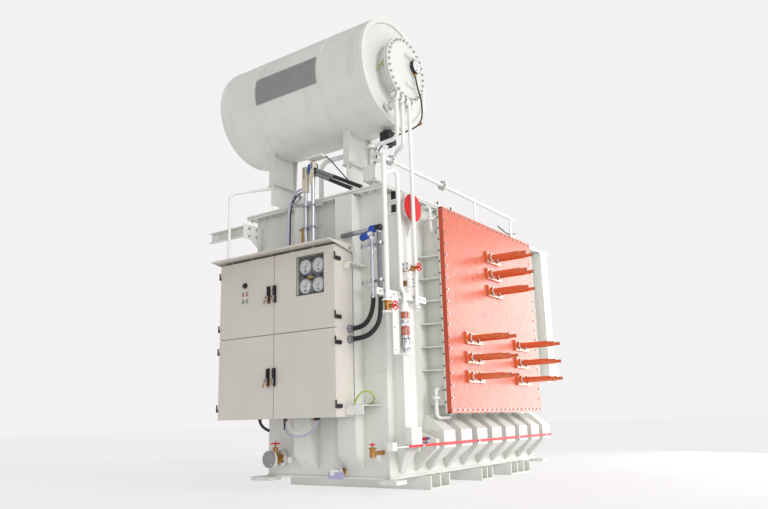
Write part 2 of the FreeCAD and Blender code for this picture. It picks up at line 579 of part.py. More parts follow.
# upper side valve on the corner post, with a blank flange to the front
UV = (DOWN_X, 130.0, 2170.0)
put("valve_bodies", fuse(
    rod(24, (POST_D, UV[1] + 16, UV[2]), (UV[0], UV[1] + 16, UV[2])),
    rod(32, (UV[0], UV[1] - 110, UV[2]), (UV[0], UV[1] + 34, UV[2])),
    flange(49, 22, (UV[0], UV[1] - 119, UV[2]), (0, 1, 0)),
    rod(18, (UV[0], UV[1], UV[2]), (UV[0] + 70, UV[1], UV[2])),
    rod(8, (UV[0] + 70, UV[1], UV[2]), (UV[0] + 112, UV[1], UV[2]))))
put("valve_bodies", fuse(rod(30, (POST_D, UV[1] - 7, UV[2] - 157), (UV[0] - 30, UV[1] - 7, UV[2] - 157)),
                         box(UV[0] - 32, UV[0] - 16, UV[1] - 58, UV[1] + 44, UV[2] - 208, UV[2] - 106)))

# drain valve at the lower left of the front, with a blank flange
DV = (-1470.0, 183.0)
put("valve_bodies", fuse(
    rod(45, (DV[0], -130, DV[1]), (DV[0], 0, DV[1])),
    flange(92, 22, (DV[0], -60, DV[1]), (0, 1, 0)),
    rod(55, (DV[0], -215, DV[1]), (DV[0], -70, DV[1])),
    flange(92, 22, (DV[0], -215, DV[1]), (0, 1, 0)),
    flange(92, 24, (DV[0], -238, DV[1]), (0, 1, 0)),
    rod(30, (DV[0], -140, DV[1]), (DV[0], -140, DV[1] + 125)),
    rod(9, (DV[0], -140, DV[1] + 125), (DV[0], -140, DV[1] + 190))))
# sampling valve at the lower right of the front
SV = (-75.0, -190.0, 270.0)
put("valve_bodies", fuse(
    rod(22, (SV[0], SV[1], SV[2] - 20), (SV[0], 0, SV[2] - 20)),
    rod(30, (SV[0], SV[1], SV[2] - 60), (SV[0], SV[1], SV[2] + 40)),
    flange(42, 12, (SV[0], SV[1], SV[2] + 30), (0, 0, 1)),
    rod(7, (SV[0], SV[1], SV[2] + 40), (SV[0], SV[1], SV[2] + 88))))
# plug valve at the bottom middle
PLUG_X = ST_X[1] - 44
put("valve_bodies", fuse(rod(32, (PLUG_X, -90, 55), (PLUG_X, 0, 55)),
                         rod(55, (PLUG_X, -110, 55), (PLUG_X, -90, 55)),
                         rod(30, (PLUG_X, -200, 55), (PLUG_X, -110, 55))))
# rear valve on the upper tank's back wall
RV = (-60.0, 4640.0, 1235.0)
put("valve_bodies", fuse(
    rod(34, (RV[0], TANK_L, RV[2]), (RV[0], RV[1], RV[2])),
    rod(42, (RV[0] - 50, RV[1], RV[2]), (RV[0] + 90, RV[1], RV[2])),
    flange(75, 22, (RV[0] + 100, RV[1], RV[2]), (1, 0, 0)),
    rod(20, (RV[0], RV[1], RV[2]), (RV[0], RV[1] + 90, RV[2])),
    rod(8, (RV[0], RV[1] + 90, RV[2]), (RV[0], RV[1] + 128, RV[2]))))

# handwheels: rim, hub and three spokes each, 0.3 clear of the spindle
wheels = {
    "wheel_side_lower": ((DOWN_X + 96, PA_Y, V1_Z), (1, 0, 0), 50.0, 8.0),
    "wheel_side_upper": ((UV[0] + 92, UV[1], UV[2]), (1, 0, 0), 47.0, 8.0),
    "wheel_drain": ((DV[0], -140.0, DV[1] + 166), (0, 0, 1), 57.0, 9.0),
    "wheel_sampling": ((SV[0], SV[1], SV[2] + 68), (0, 0, 1), 32.0, 7.0),
    "wheel_rear": ((RV[0], RV[1] + 106, RV[2]), (0, 1, 0), 65.0, 8.0),
}
for name, (c, ax, r, sr) in wheels.items():
    a, p = V(*ax), V(*c)
    rim = Part.makeTorus(r - 7, 7, p, a)
    hub = Part.makeCylinder(sr + 8, 20, p - a * 10, a)
    side = V(0, 0, 1) if abs(ax[2]) < 0.5 else V(1, 0, 0)
    spokes = []
    for k in range(3):
        rot = FreeCAD.Rotation(a, 120.0 * k)
        d = rot.multVec(side)
        spokes.append(Part.makeCylinder(4.5, r - 9, p, d))
    w = fuse(rim, hub, *spokes).cut(Part.makeCylinder(sr + 0.4, 24, p - a * 12, a))
    put(name, w)

# ---------------------------------------------------------------- conduits
# a pair rises in front of the left stiffener to the cover
put("conduits", rod(22, (-970, -185, HOOD_TOP), (-970, -185, 3210)),
    rod(22, (-857, -185, HOOD_TOP), (-857, -185, 3380)))
put("conduits", box(-1000, -940, -210, -160, 3210, 3520), box(-885, -829, -210, -160, 3380, 3560))
# two more slope down from the boxes to the cover
for z, end_x, end_y in ((3468, -236, -59), (3418, -357, -86)):
    put("conduits", rod(20, (-829, -185, z), (end_x, end_y, COVER_Z + 22)))
# a second pair comes down beside the cubicle, with black hoses into its side
C1 = (10.0, -230.0)
C2 = (105.0, -230.0)
put("conduits", pipe(24, [(-430, C1[1] + 40, 2583), (C2[0], C2[1], 2583), (C2[0], C2[1], 1850)], [60]),
    rod(24, (C1[0], C1[1], 1850), (C1[0], C1[1], 2540)))
HOSE_R = 26.0
hoses = []
for k, (c, zg) in enumerate(((C1, 1535.0), (C2, 1423.0))):
    dx = c[0] - CUB_X1
    p = [(CUB_X1 + 34, c[1], zg), (CUB_X1 + 34 + dx * 0.42, c[1], zg),
         (CUB_X1 + dx * 0.84, c[1], zg + 85), (c[0], c[1], zg + 215), (c[0], c[1], 1850)]
    hoses.append(p)
    r = soft_radii(p)
    print("hose", k, "length", round(sum((V(*p[i + 1]) - V(*p[i])).Length for i in range(len(p) - 1))),
          "radii", [round(v) for v in r])
    put("flexible_hoses", pipe(HOSE_R, p, r))
    put("conduits", rod(36, (CUB_X1, c[1], zg), (CUB_X1 + 34, c[1], zg)))

# cables held at both ends: control bundle, level gauge lead, earth lead, two loops under the cubicle
GAUGE_Y, GAUGE_Z = CON_Y + 150, CON_Z + 85
for r, pts in (
        (14, [(-1000, -185, 3262), (-1100, -185, 3275), (-1215, -185, 3150), (-1250, -185, 2960),
              (-1250, -185, HOOD_TOP)]),
        (10, [(HF + 30, GAUGE_Y, GAUGE_Z - 84), (HF + 32, GAUGE_Y + 20, 4530), (190, 640, 4300),
              (190, 600, 4040), (130, 420, 3900), (OIL[0] + 70, CON_Y, BOT - 120)]),
        (9, [(-203, -316, 735), (-150, -312, 860), (-40, -240, 880), (-60, -130, 760), (-239, 0, 747)]),
        (12, [(-1176, -300, CUB_Z0), (-1176, -300, 470), (-1040, -300, 420), (-850, -300, 440),
              (-701, -300, 540), (-701, -300, CUB_Z0)]),
        (16, [(-1560, -300, CUB_Z0), (-1560, -300, 540), (-1417, -300, 495)])):
    cable = pipe(r, pts, soft_radii(pts))
    for name in ("conduits", "cubicle_brackets", "level_gauge", "oil_line", "tank_lower_walls"):
        for neighbour in parts[name]:
            cable = cable.cut(neighbour)
    put("flexible_hoses", cable)

# clamp rails of the conduits
put("pipe_rack",
    box(-1000, -740, -163, -150, 3020, 3050), box(-1000, -740, -163, -150, 2760, 2790),
    fuse(box(-150, 150, -206, -193, 2400, 2430), box(-130, -100, -193, 0, 2400, 2430)),
    fuse(box(-150, 150, -206, -193, 2000, 2030), box(-130, -100, -193, 0, 2000, 2030)))

# arm at the upper left corner
put("left_arm", fuse(
    box(-1862, -1850, -330, 0, 2786, 2968),
    box(-2474, -1862, -278, -270, 2815, 2940),
    box(-2474, -1862, -330, -278, 2932, 2940), box(-2474, -1862, -330, -278, 2815, 2823),
    plate([(-1862, -200, 2786), (-1862, 0, 2786), (-1862, 0, 2640)], (12, 0, 0))))

# thin pipe from the left saddle arm down to the cubicle's hood
put("alarm_pipe", pipe(18, [(SADDLE_X[0] + 62, 170, 3540), (-2066, -360, 3375), (-2066, -360, HOOD_TOP)],
                       [90]).cut(parts["saddle_arms"][0]))
# balance pipe from the cover up to the right saddle
put("alarm_pipe", pipe(30, [(-1188, CON_Y, COVER_Z), (-1188, CON_Y, 3790), (SADDLE_X[1] + 50, CON_Y, 3790)],
                       [120]))

# small flanged elbows beside the panel
ELBOW_X, ELBOW_Y = 165.0, 745.0
put("panel_elbows", fuse(
    pipe(20, [(0, ELBOW_Y, 3035), (ELBOW_X, ELBOW_Y, 3035), (ELBOW_X, ELBOW_Y, 2735),
              (ELBOW_X, yi0, 2735)], [45, 60]),
    flange(44, 26, (ELBOW_X, ELBOW_Y, 2875), (0, 0, 1))))
put("panel_elbows", fuse(
    pipe(20, [(ELBOW_X, yi0, 897), (ELBOW_X, ELBOW_Y - 40, 897), (ELBOW_X, ELBOW_Y - 40, 585),
              (ELBOW_X, 1000, 585), (ELBOW_X, 1000, zi0)], [45, 60, 45]),
    flange(44, 26, (ELBOW_X, ELBOW_Y - 40, 799), (0, 0, 1))))


# ---------------------------------------------------------------- move and write
allb = FreeCAD.BoundBox()
for solids in parts.values():
    for s in solids:
        allb.add(s.BoundBox)
shift = V(-(allb.XMin + allb.XMax) / 2, -(allb.YMin + allb.YMax) / 2, -allb.ZMin)
total = 0.0
for name, solids in parts.items():
    shape = Part.makeCompound(solids) if len(solids) > 1 else solids[0]
    shape.translate(shift)
    total += shape.Volume
    shape.exportStep("parts/%s.step" % name)
print("nodes", len(parts), "volume m3", round(total / 1e9, 3))
print("size", round(allb.XLength), round(allb.YLength), round(allb.ZLength))
print("shift", [round(v, 3) for v in shift])
for name, p, hand in joints:
    q = [round((p[k] + shift[k]) / 1000, 5) for k in range(3)]
    print("joint", name, q, hand)
for name, p in handle_joints:
    print("joint", name, [round((p[k] + shift[k]) / 1000, 5) for k in range(3)], "y")
for name, (c, ax, r, sr) in wheels.items():
    print("joint", name, [round((c[k] + shift[k]) / 1000, 5) for k in range(3)], ax)
print("joint selector_knob", [round((SEL[0] + shift[0]) / 1000, 5), 0,
                              round((SEL[1] + shift[2]) / 1000, 5)], "y")
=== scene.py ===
"""Looks of the power transformer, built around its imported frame.  Places are in millimetres from the
tank's front right bottom corner (X right, Y back, Z up), as in the part's source; P() turns them
into the frame's metres."""

import math

import bmesh
import bpy
from mathutils import Matrix, Vector


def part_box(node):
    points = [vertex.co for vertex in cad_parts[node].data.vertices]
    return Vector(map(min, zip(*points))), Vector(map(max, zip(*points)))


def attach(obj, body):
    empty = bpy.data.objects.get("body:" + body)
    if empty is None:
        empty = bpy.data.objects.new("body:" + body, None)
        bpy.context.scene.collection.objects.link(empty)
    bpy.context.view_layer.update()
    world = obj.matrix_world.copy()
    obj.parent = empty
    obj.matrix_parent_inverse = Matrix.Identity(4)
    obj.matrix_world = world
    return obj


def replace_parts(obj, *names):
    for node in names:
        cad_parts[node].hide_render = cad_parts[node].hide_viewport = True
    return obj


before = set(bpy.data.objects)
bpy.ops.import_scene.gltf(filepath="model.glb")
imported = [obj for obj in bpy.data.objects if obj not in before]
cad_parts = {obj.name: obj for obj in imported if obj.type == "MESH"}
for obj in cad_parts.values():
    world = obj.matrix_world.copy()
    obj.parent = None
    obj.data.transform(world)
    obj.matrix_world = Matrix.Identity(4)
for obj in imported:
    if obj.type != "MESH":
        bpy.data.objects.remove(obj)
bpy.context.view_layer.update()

ORIGIN = Vector((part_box("tank_upper_walls")[1].x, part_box("tank_upper_walls")[0].y,
                 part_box("tank_lower_walls")[0].z))


def P(x, y, z):
    """Point in millimetres from the tank's corner, as metres in the row frame."""
    return Vector((x, y, z)) / 1000 + ORIGIN


def span(node):
    """A node's box as (x0, x1, y0, y1, z0, z1) in millimetres from the tank's corner."""
    lo, hi = (Vector(c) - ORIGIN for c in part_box(node))
    return [1000 * v for pair in zip(lo, hi) for v in pair]


def put(name, data):
    """New object in the scene."""
    ob = bpy.data.objects.new(name, data)
    bpy.context.scene.collection.objects.link(ob)
    return ob


# ------------------------------------------------------------------ materials
def srgb(r, g, b):
    """Linear colour from 0-255 display values."""
    return tuple(((c / 255 + 0.055) / 1.055) ** 2.4 if c > 10 else c / 3295 for c in (r, g, b)) + (1,)


class Material:
    """A node material around one Principled shader."""

    def __init__(self, name, **sockets):
        self.m = bpy.data.materials.new(name)
        self.m.use_nodes = True
        self.t = self.m.node_tree
        self.s = self.t.nodes["Principled BSDF"]
        self.coord = self.t.nodes.new("ShaderNodeTexCoord")
        for k, v in sockets.items():
            self.s.inputs[k.replace("_", " ")].default_value = v

    def add(self, kind, inputs=(), **props):
        n = self.t.nodes.new(kind)
        for k, v in props.items():
            setattr(n, k, v)
        for k, v in dict(inputs).items():
            n.inputs[k].default_value = v
        return n

    def link(self, a, b):
        self.t.links.new(a, b)

    def noise(self, scale, detail=3.0, stretch=(1, 1, 1), rough=0.55):
        m = self.add("ShaderNodeMapping", {"Scale": stretch})
        self.link(self.coord.outputs["Object"], m.inputs["Vector"])
        n = self.add("ShaderNodeTexNoise", {"Scale": scale, "Detail": detail, "Roughness": rough})
        self.link(m.outputs[0], n.inputs["Vector"])
        return n.outputs["Fac"]

    def ramp(self, fac, stops):
        r = self.add("ShaderNodeValToRGB")
        e = r.color_ramp.elements
        while len(e) < len(stops):
            e.new(0.5)
        for k, (pos, col) in enumerate(stops):
            e[k].position = pos
            e[k].color = srgb(*col)
        self.link(fac, r.inputs["Fac"])
        return r.outputs["Color"]

    def mix(self, fac, a, b, blend="MIX"):
        """Blends output a with the display colour b."""
        x = self.add("ShaderNodeMix", data_type="RGBA", blend_type=blend)
        self.link(fac, x.inputs[0])
        self.link(a, x.inputs[6])
        x.inputs[7].default_value = srgb(*b)
        return x.outputs[2]

    def rng(self, fac, lo, hi, a=0.0, b=1.0):
        """Maps fac from a-b to lo-hi."""
        r = self.add("ShaderNodeMapRange", {"From Min": a, "From Max": b, "To Min": lo, "To Max": hi})
        self.link(fac, r.inputs["Value"])
        return r.outputs[0]

    def colour(self, out):
        self.link(out, self.s.inputs["Base Color"])
        return self

    def rough(self, out):
        self.link(out, self.s.inputs["Roughness"])
        return self

    def bump(self, fac, strength, distance=0.001):
        b = self.add("ShaderNodeBump", {"Strength": strength, "Distance": distance})
        self.link(fac, b.inputs["Height"])
        self.link(b.outputs[0], self.s.inputs["Normal"])
        return self


def paint_material(name, main, shade, dust_and_shade_tint, gloss=0.42, dust_amount=0.35):
    """Sprayed enamel: two near tones, dust that runs down in streaks, orange peel, and painted shade that
    darkens corners and crevices.
    """
    m = Material(name, Coat_Weight=0.12, Coat_Roughness=0.25)
    broad = m.ramp(m.noise(1.3, 4), [(0.35, main), (0.7, shade)])
    streak = m.rng(m.noise(5.5, 5, (1, 1, 0.12)), 0.0, dust_amount, 0.5, 0.85)
    col = m.mix(streak, broad, dust_and_shade_tint)
    # painted shade: ambient occlusion darkens corners, creases and gaps between parts towards the dust colour
    corner = m.add("ShaderNodeAmbientOcclusion", {"Distance": 0.06}, samples=6)
    painted_crevice_shade = m.rng(corner.outputs["AO"], 0.3, 0.0, 0.25, 0.95)
    m.colour(m.mix(painted_crevice_shade, col, dust_and_shade_tint, "MULTIPLY"))
    m.rough(m.rng(m.noise(14, 4), gloss - 0.08, gloss + 0.12, 0.3, 0.7))
    m.bump(m.noise(260, 2), 0.12, 0.0006)
    return m.m


def metal_material(name, a, b, rough=0.3, scale=60, grain=(1, 1, 1), bump=0.15, metallic=1.0):
    """Bare metal with grain and a little tarnish."""
    m = Material(name, Metallic=metallic)
    m.colour(m.ramp(m.noise(scale * 0.3, 5, grain), [(0.3, a), (0.7, b)]))
    m.rough(m.rng(m.noise(scale, 3, grain), rough - 0.1, rough + 0.15, 0.3, 0.7))
    m.bump(m.noise(scale * 4, 2, grain), bump, 0.0005)
    return m.m


def plastic_material(name, a, b, rough=0.45, scale=40, **sockets):
    m = Material(name, **sockets)
    m.colour(m.ramp(m.noise(scale, 4), [(0.3, a), (0.7, b)]))
    m.rough(m.rng(m.noise(scale * 2, 3), rough - 0.06, rough + 0.12, 0.3, 0.7))
    m.bump(m.noise(scale * 12, 2), 0.1, 0.0004)
    return m.m


def galvanized_material():
    """Zinc coating with its spangle."""
    m = Material("galvanized", Metallic=0.85)
    v = m.add("ShaderNodeTexVoronoi", {"Scale": 55.0})
    m.link(m.coord.outputs["Object"], v.inputs["Vector"])
    m.colour(m.ramp(v.outputs["Distance"], [(0.0, (176, 182, 192)), (0.8, (216, 220, 226))]))
    m.rough(m.rng(v.outputs["Distance"], 0.26, 0.5))
    m.bump(m.noise(120, 3), 0.12, 0.0004)
    return m.m


def glass_material(name, tint, rough=0.03):
    m = Material(name, Transmission_Weight=1.0, IOR=1.45, Alpha=0.35)
    m.s.inputs["Base Color"].default_value = tint
    m.rough(m.rng(m.noise(30, 3), rough, rough + 0.08, 0.4, 0.7))
    return m.m


def silica_material():
    """Orange drying beads behind glass."""
    m = Material("silica_beads", Coat_Weight=0.8, Coat_Roughness=0.08)
    v = m.add("ShaderNodeTexVoronoi", {"Scale": 150.0})
    m.link(m.coord.outputs["Object"], v.inputs["Vector"])
    beads = m.ramp(v.outputs["Distance"], [(0.0, (226, 132, 84)), (0.45, (190, 84, 50)),
                                           (0.8, (110, 48, 34))])
    pale = m.rng(m.noise(22, 3), 0.0, 0.5, 0.5, 0.8)
    m.colour(m.mix(pale, beads, (225, 180, 160)))
    m.rough(m.rng(v.outputs["Distance"], 0.25, 0.5))
    m.bump(v.outputs["Distance"], 0.6, 0.002)
    return m.m


def striped_material(name, a, b):
    """Two-coloured earth wire: the second colour runs along in bands."""
    m = Material(name, Coat_Weight=0.3)
    w = m.add("ShaderNodeTexWave", {"Scale": 26.0, "Distortion": 1.2, "Detail": 1.0},
              bands_direction="DIAGONAL")
    m.link(m.coord.outputs["Object"], w.inputs["Vector"])
    m.colour(m.ramp(w.outputs["Fac"], [(0.42, a), (0.55, b)]))
    m.rough(m.rng(w.outputs["Fac"], 0.35, 0.5))
    return m.m


MAT = {
    "paint": paint_material("tank_paint", (225, 226, 221), (217, 219, 213), (176, 173, 162)),
    "white": paint_material("white_paint", (236, 236, 233), (228, 228, 224), (180, 178, 168),
                            0.36, 0.22),
    "door": paint_material("door_powder_coat", (214, 209, 201), (208, 203, 194),
                           (188, 183, 172), 0.34, 0.15),
    "red": paint_material("red_enamel", (228, 8, 32), (214, 5, 24), (150, 6, 20), 0.45, 0.1),
    "board": paint_material("panel_board", (216, 112, 86), (206, 99, 73), (160, 70, 52),
                            0.3, 0.2),
    "board_edge": paint_material("panel_edge", (198, 84, 52), (184, 72, 44),
                                 (120, 44, 28), 0.5, 0.3),
    "copper": metal_material("copper", (236, 140, 92), (214, 112, 66), 0.3, 50, (1, 8, 8), 0.1,
                             metallic=0.55),
    "galvanized": galvanized_material(),
    "steel": metal_material("bright_steel", (206, 208, 212), (168, 170, 176), 0.24, 90),
    "brass": metal_material("brass_casting", (206, 160, 92), (160, 106, 52), 0.36, 45, bump=0.4),
    "plate": plastic_material("bare_plate", (158, 157, 156), (148, 147, 147), 0.38, 6, Metallic=0.3),
    "lens_red": plastic_material("red_lens", (210, 24, 28), (180, 14, 20), 0.15, 30,
                                 Coat_Weight=0.8),
    "lens_green": plastic_material("green_lens", (24, 150, 84), (14, 120, 64), 0.15, 30,
                                   Coat_Weight=0.8),
    "glass": glass_material("clear_glass", (0.92, 0.95, 0.96, 1)),
    "silica": silica_material(),
    "earth": striped_material("earth_wire", (196, 206, 40), (50, 132, 56)),
    "strap": metal_material("tinned_strap", (222, 196, 178), (196, 166, 146), 0.34, 60),
    "copper_dark": metal_material("copper_bore", (120, 56, 32), (90, 40, 24), 0.5, 60),
    "dark_steel": metal_material("dark_steel", (84, 84, 90), (60, 60, 66), 0.4, 70),
}
PLASTICS = {
    "rubber": ("black_rubber", (24, 24, 26), (38, 38, 42), 0.42, 60),
    "black": ("black_plastic", (20, 20, 22), (30, 30, 33), 0.36, 60),
    "dark": ("dark_interior", (34, 36, 44), (52, 54, 62), 0.6, 20),
    "seal": ("seal_line", (70, 66, 58), (96, 92, 82), 0.7, 50),
    "beige": ("beige_housing", (214, 206, 188), (200, 190, 170), 0.5, 30),
    "grey": ("grey_conduit", (128, 130, 134), (104, 106, 112), 0.5, 50),
    "blue": ("blue_cover", (22, 78, 184), (16, 60, 150), 0.4, 40),
    "yellow": ("yellow_lead", (226, 190, 40), (206, 168, 30), 0.4, 40),
    "dial": ("dial_face", (238, 238, 236), (230, 231, 230), 0.5, 60),
    "tag": ("white_tag", (238, 238, 236), (226, 226, 224), 0.5, 40),
    "lavender": ("lavender_tag", (186, 180, 216), (170, 164, 204), 0.5, 40),
    "lilac": ("lilac_cable", (196, 190, 214), (168, 162, 190), 0.4, 40),
    "ochre": ("ochre_paint", (190, 146, 66), (160, 116, 48), 0.5, 30),
    "grey_case": ("grey_case", (150, 152, 158), (128, 130, 138), 0.4, 40),
}
MAT.update((key, plastic_material(*row)) for key, row in PLASTICS.items())


# ------------------------------------------------------------------ mesh helpers
def axes(direction):
    """Two unit vectors square to a direction."""
    d = Vector(direction).normalized()
    u = d.cross(Vector((0, 0, 1)) if abs(d.z) < 0.9 else Vector((1, 0, 0))).normalized()
    return u, d.cross(u)


def around(direction, count, start=0.0):
    """Unit vectors evenly round a direction, the first turned by start steps."""
    u, w = axes(direction)
    return [math.cos(a) * u + math.sin(a) * w
            for a in (2 * math.pi * (k + start) / count for k in range(count))]


class Mesh:
    """Many solids collected in one mesh, in millimetres from the tank's corner."""

    def __init__(self):
        self.bm = bmesh.new()

    def lathe(self, p, direction, profile, n=24):
        """Turned solid: profile is (distance along direction, radius) pairs, closed at both ends."""
        d, out = Vector(direction).normalized(), around(direction, n)
        rings = [[self.bm.verts.new(Vector(p) + d * t + r * o) for o in (out if r > 1e-6 else out[:1])]
                 for t, r in profile]
        for a, b in zip(rings, rings[1:]):
            for k in range(max(len(a), len(b))):
                quad = [a[k % len(a)], a[(k + 1) % len(a)], b[(k + 1) % len(b)], b[k % len(b)]]
                self.bm.faces.new(list(dict.fromkeys(quad)))
        if len(rings[0]) > 1:
            self.bm.faces.new(rings[0])
        if len(rings[-1]) > 1:
            self.bm.faces.new(rings[-1][::-1])
        return self

    def disc(self, p, direction, r, t, n):
        return self.lathe(p, direction, [(0, r), (t, r)], n)

    def rod(self, p, q, r, n=16):
        d = Vector(q) - Vector(p)
        return self.disc(p, d, r, d.length, n)

    def turned(self, p, direction, section, n):
        """Closed ring whose section is (distance along direction, radius) pairs."""
        d, out = Vector(direction).normalized(), around(direction, n)
        loops = [[self.bm.verts.new(Vector(p) + d * t + r * o) for t, r in section] for o in out]
        m = len(section)
        for k in range(n):
            for j in range(m):
                a, b = loops[k], loops[(k + 1) % n]
                self.bm.faces.new([a[j], b[j], b[(j + 1) % m], a[(j + 1) % m]])
        return self

    def ring(self, p, direction, r, tube, n=32, m=8):
        """Torus centred on p."""
        turns = [2 * math.pi * j / m for j in range(m)]
        return self.turned(p, direction, [(tube * math.sin(b), r + tube * math.cos(b)) for b in turns], n)

    def washer(self, p, direction, r1, r0, t, n=32):
        """Flat ring of thickness t."""
        return self.turned(p, direction, [(0, r0), (0, r1), (t, r1), (t, r0)], n)

    def box(self, x0, x1, y0, y1, z0, z1):
        return self.prism([(x0, y0, z0), (x1, y0, z0), (x1, y1, z0), (x0, y1, z0)], (0, 0, z1 - z0))

    def prism(self, pts, push):
        """Flat outline pushed along a vector."""
        a = [self.bm.verts.new(Vector(p)) for p in pts]
        b = [self.bm.verts.new(Vector(p) + Vector(push)) for p in pts]
        self.bm.faces.new(a[::-1])
        self.bm.faces.new(b)
        for k in range(len(a)):
            self.bm.faces.new([a[k], a[(k + 1) % len(a)], b[(k + 1) % len(a)], b[k]])
        return self

    def bolt(self, p, direction, size=18, head=11):
        """Hexagon head with a washer."""
        d = Vector(direction).normalized()
        thick, flat = size * 0.12, size * 0.52
        self.lathe(p, d, [(0, size * 0.72), (thick, size * 0.72)], 12)
        return self.lathe(Vector(p) + d * thick, d, [(0, flat), (head * 0.8, flat), (head, size * 0.44)], 6)

    def bolt_circle(self, centre, direction, radius, count, size=18, head=11, start=0.0):
        for out in around(direction, count, start):
            self.bolt(Vector(centre) + radius * out, direction, size, head)
        return self

    def bolts(self, places, direction, size=18, head=11):
        for p in places:
            self.bolt(p, direction, size, head)
        return self

    def done(self, name, mat, body="housing", bevel=0.0, smooth=35):
        bmesh.ops.recalc_face_normals(self.bm, faces=self.bm.faces)
        self.bm.transform(Matrix.Translation(ORIGIN) @ Matrix.Scale(0.001, 4))
        me = bpy.data.meshes.new(name)
        self.bm.to_mesh(me)
        self.bm.free()
        ob = put(name, me)
        me.materials.append(MAT[mat])
        me.shade_smooth()
        me.set_sharp_from_angle(angle=math.radians(smooth))
        if bevel:
            soften(ob, bevel)
        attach(ob, body)
        return ob


def soften(ob, width_mm):
    """Rounded edges, so that they catch the light."""
    b = ob.modifiers.new("edges", "BEVEL")
    b.width = width_mm / 1000
    b.segments = 2
    b.limit_method = "ANGLE"
    b.angle_limit = math.radians(35)
    b.harden_normals = True


def spline(name, pts, resolution=8):
    """Curve object that runs smoothly along the control points pts."""
    cu = bpy.data.curves.new(name, "CURVE")
    cu.dimensions = "3D"
    sp = cu.splines.new("NURBS")
    sp.points.add(len(pts) - 1)
    for q, p in zip(sp.points, pts):
        q.co = (*p, 1)
    sp.order_u = min(3, len(pts))
    sp.use_endpoint_u = True
    sp.resolution_u = resolution
    return bpy.data.objects.new(name, cu)


def hose(name, pts, radius, mat, body="housing"):
    """Smooth round line through the control points pts, in millimetres."""
    ob = spline(name, [P(*p) for p in pts])
    ob.data.bevel_depth = radius / 1000
    ob.data.bevel_resolution = 4
    ob.data.use_fill_caps = True
    bpy.context.scene.collection.objects.link(ob)
    ob.data.materials.append(MAT[mat])
    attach(ob, body)
    return ob


# ------------------------------------------------------------------ carried-over nodes
NODE_MAT = {
    "terminal_panel": "board", "terminals": "copper", "trunnion_discs": "red", "red_rail": "red",
    "valve_bodies": "brass", "breather": "steel", "gauge_window": "glass", "gauge_cluster": "dark",
    "selector_knob": "black", "flexible_hoses": "rubber", "conduits": "galvanized", "pipe_rack": "white",
    "panel_elbows": "white",
    "level_gauge": "black", "side_pipes": "white", "down_pipes": "white", "oil_line": "white",
    "alarm_pipe": "white", "lamps": "steel", "hinge_lugs": "black",
}
ROUND = {"conservator_shell", "gauge_window"}

for node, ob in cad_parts.items():
    if node.startswith("wheel_"):
        mat = "red"
    elif node.startswith("handle_"):
        mat = "black"
    elif node.startswith("door_") or node in ("cubicle_hood", "cubicle_sides"):
        mat = "door"
    else:
        mat = NODE_MAT.get(node, "paint")
    ob.data.materials.clear()
    ob.data.materials.append(MAT[mat])
    if node not in ROUND:
        soften(ob, 2.5 if node.startswith(("door_", "cubicle_", "handle_")) else 4.0)


# ------------------------------------------------------------------ driving places, from the frame
RIM = span("tank_rim")
COVER = span("tank_cover")
PANEL = span("terminal_panel")
HATCH = span("conservator_hatch")
SHELL = span("conservator_shell")
HOOD = span("cubicle_hood")
RAIL = span("red_rail")
GAUGE = span("level_gauge")
FRONT = -470.0                      # outer face of the doors
CUBICLE_SIDE = -315.0               # right side of the cubicle
CUBICLE_FLOOR = 618                 # underside of its floor, where cables leave
HOOD_TOP = 2468                     # where conduits and cables enter the hood
CONDUIT_X, CONDUIT_Y = (10, 105), -230      # the pair beside the cubicle
CON_Y, CON_Z, CON_R = 363.0, 4659.0, 684.0
UP, DOWN, RIGHT, LEFT = (0, 0, 1), (0, 0, -1), (1, 0, 0), (-1, 0, 0)
OUT, BACK = (0, -1, 0), (0, 1, 0)      # OUT points to the front


def spread(a, b, count):
    """count places from a to b, both included."""
    return [a + (b - a) * k / (count - 1) for k in range(count)]


# ------------------------------------------------------------------ tank
def rim_bolts(pitch=110.0, inset=46.0):
    """Bolts through the cover and the rim all the way round, with the joint's seal between them."""
    x0, x1, y0, y1 = RIM[0] + inset, RIM[1] - inset, RIM[2] + inset, RIM[3] - inset
    nx, ny = int((x1 - x0) / pitch), int((y1 - y0) / pitch)
    places = [(x, y) for x in spread(x0, x1, nx) for y in (y0, y1)]
    places += [(x, y) for y in spread(y0, y1, ny)[1:-1] for x in (x0, x1)]
    m = Mesh()
    for x, y in places:
        m.bolt((x, y, COVER[5]), UP, 26, 16)
        m.bolt((x, y, RIM[4]), DOWN, 26, 20)
        m.rod((x, y, RIM[4] - 30), (x, y, RIM[4]), 7, 8)
    m.done("rim_bolts", "steel")
    seal, lip = Mesh(), 0.8
    for a, b, c, d in ((RIM[0], RIM[1], RIM[2], RIM[2] + 12), (RIM[0], RIM[1], RIM[3] - 12, RIM[3]),
                       (RIM[0], RIM[0] + 12, RIM[2], RIM[3]), (RIM[1] - 12, RIM[1], RIM[2], RIM[3])):
        seal.box(a - lip, b + lip, c - lip, d + lip, RIM[5] - 2, RIM[5] + 2)
    seal.done("rim_seal", "seal")


def weld_seams():
    """Raised weld beads where the stiffeners and posts meet the walls."""
    m = Mesh()
    for x0 in (-1182.0, -556.0):
        for x in (x0, x0 + 240):
            m.rod((x, -2, 80), (x, -2, RIM[4] - 20), 4, 8)
    for y in (105.0, 337.0):
        m.rod((2, y, 290), (2, y, RIM[4] - 22), 4, 8)
    for y in (840.0, 3149.0):
        m.rod((2, y, 720), (2, y, 2912), 5, 8)
    m.rod((0, -1, 1074), (-1936, -1, 1074), 3, 8)
    m.done("wall_welds", "paint")


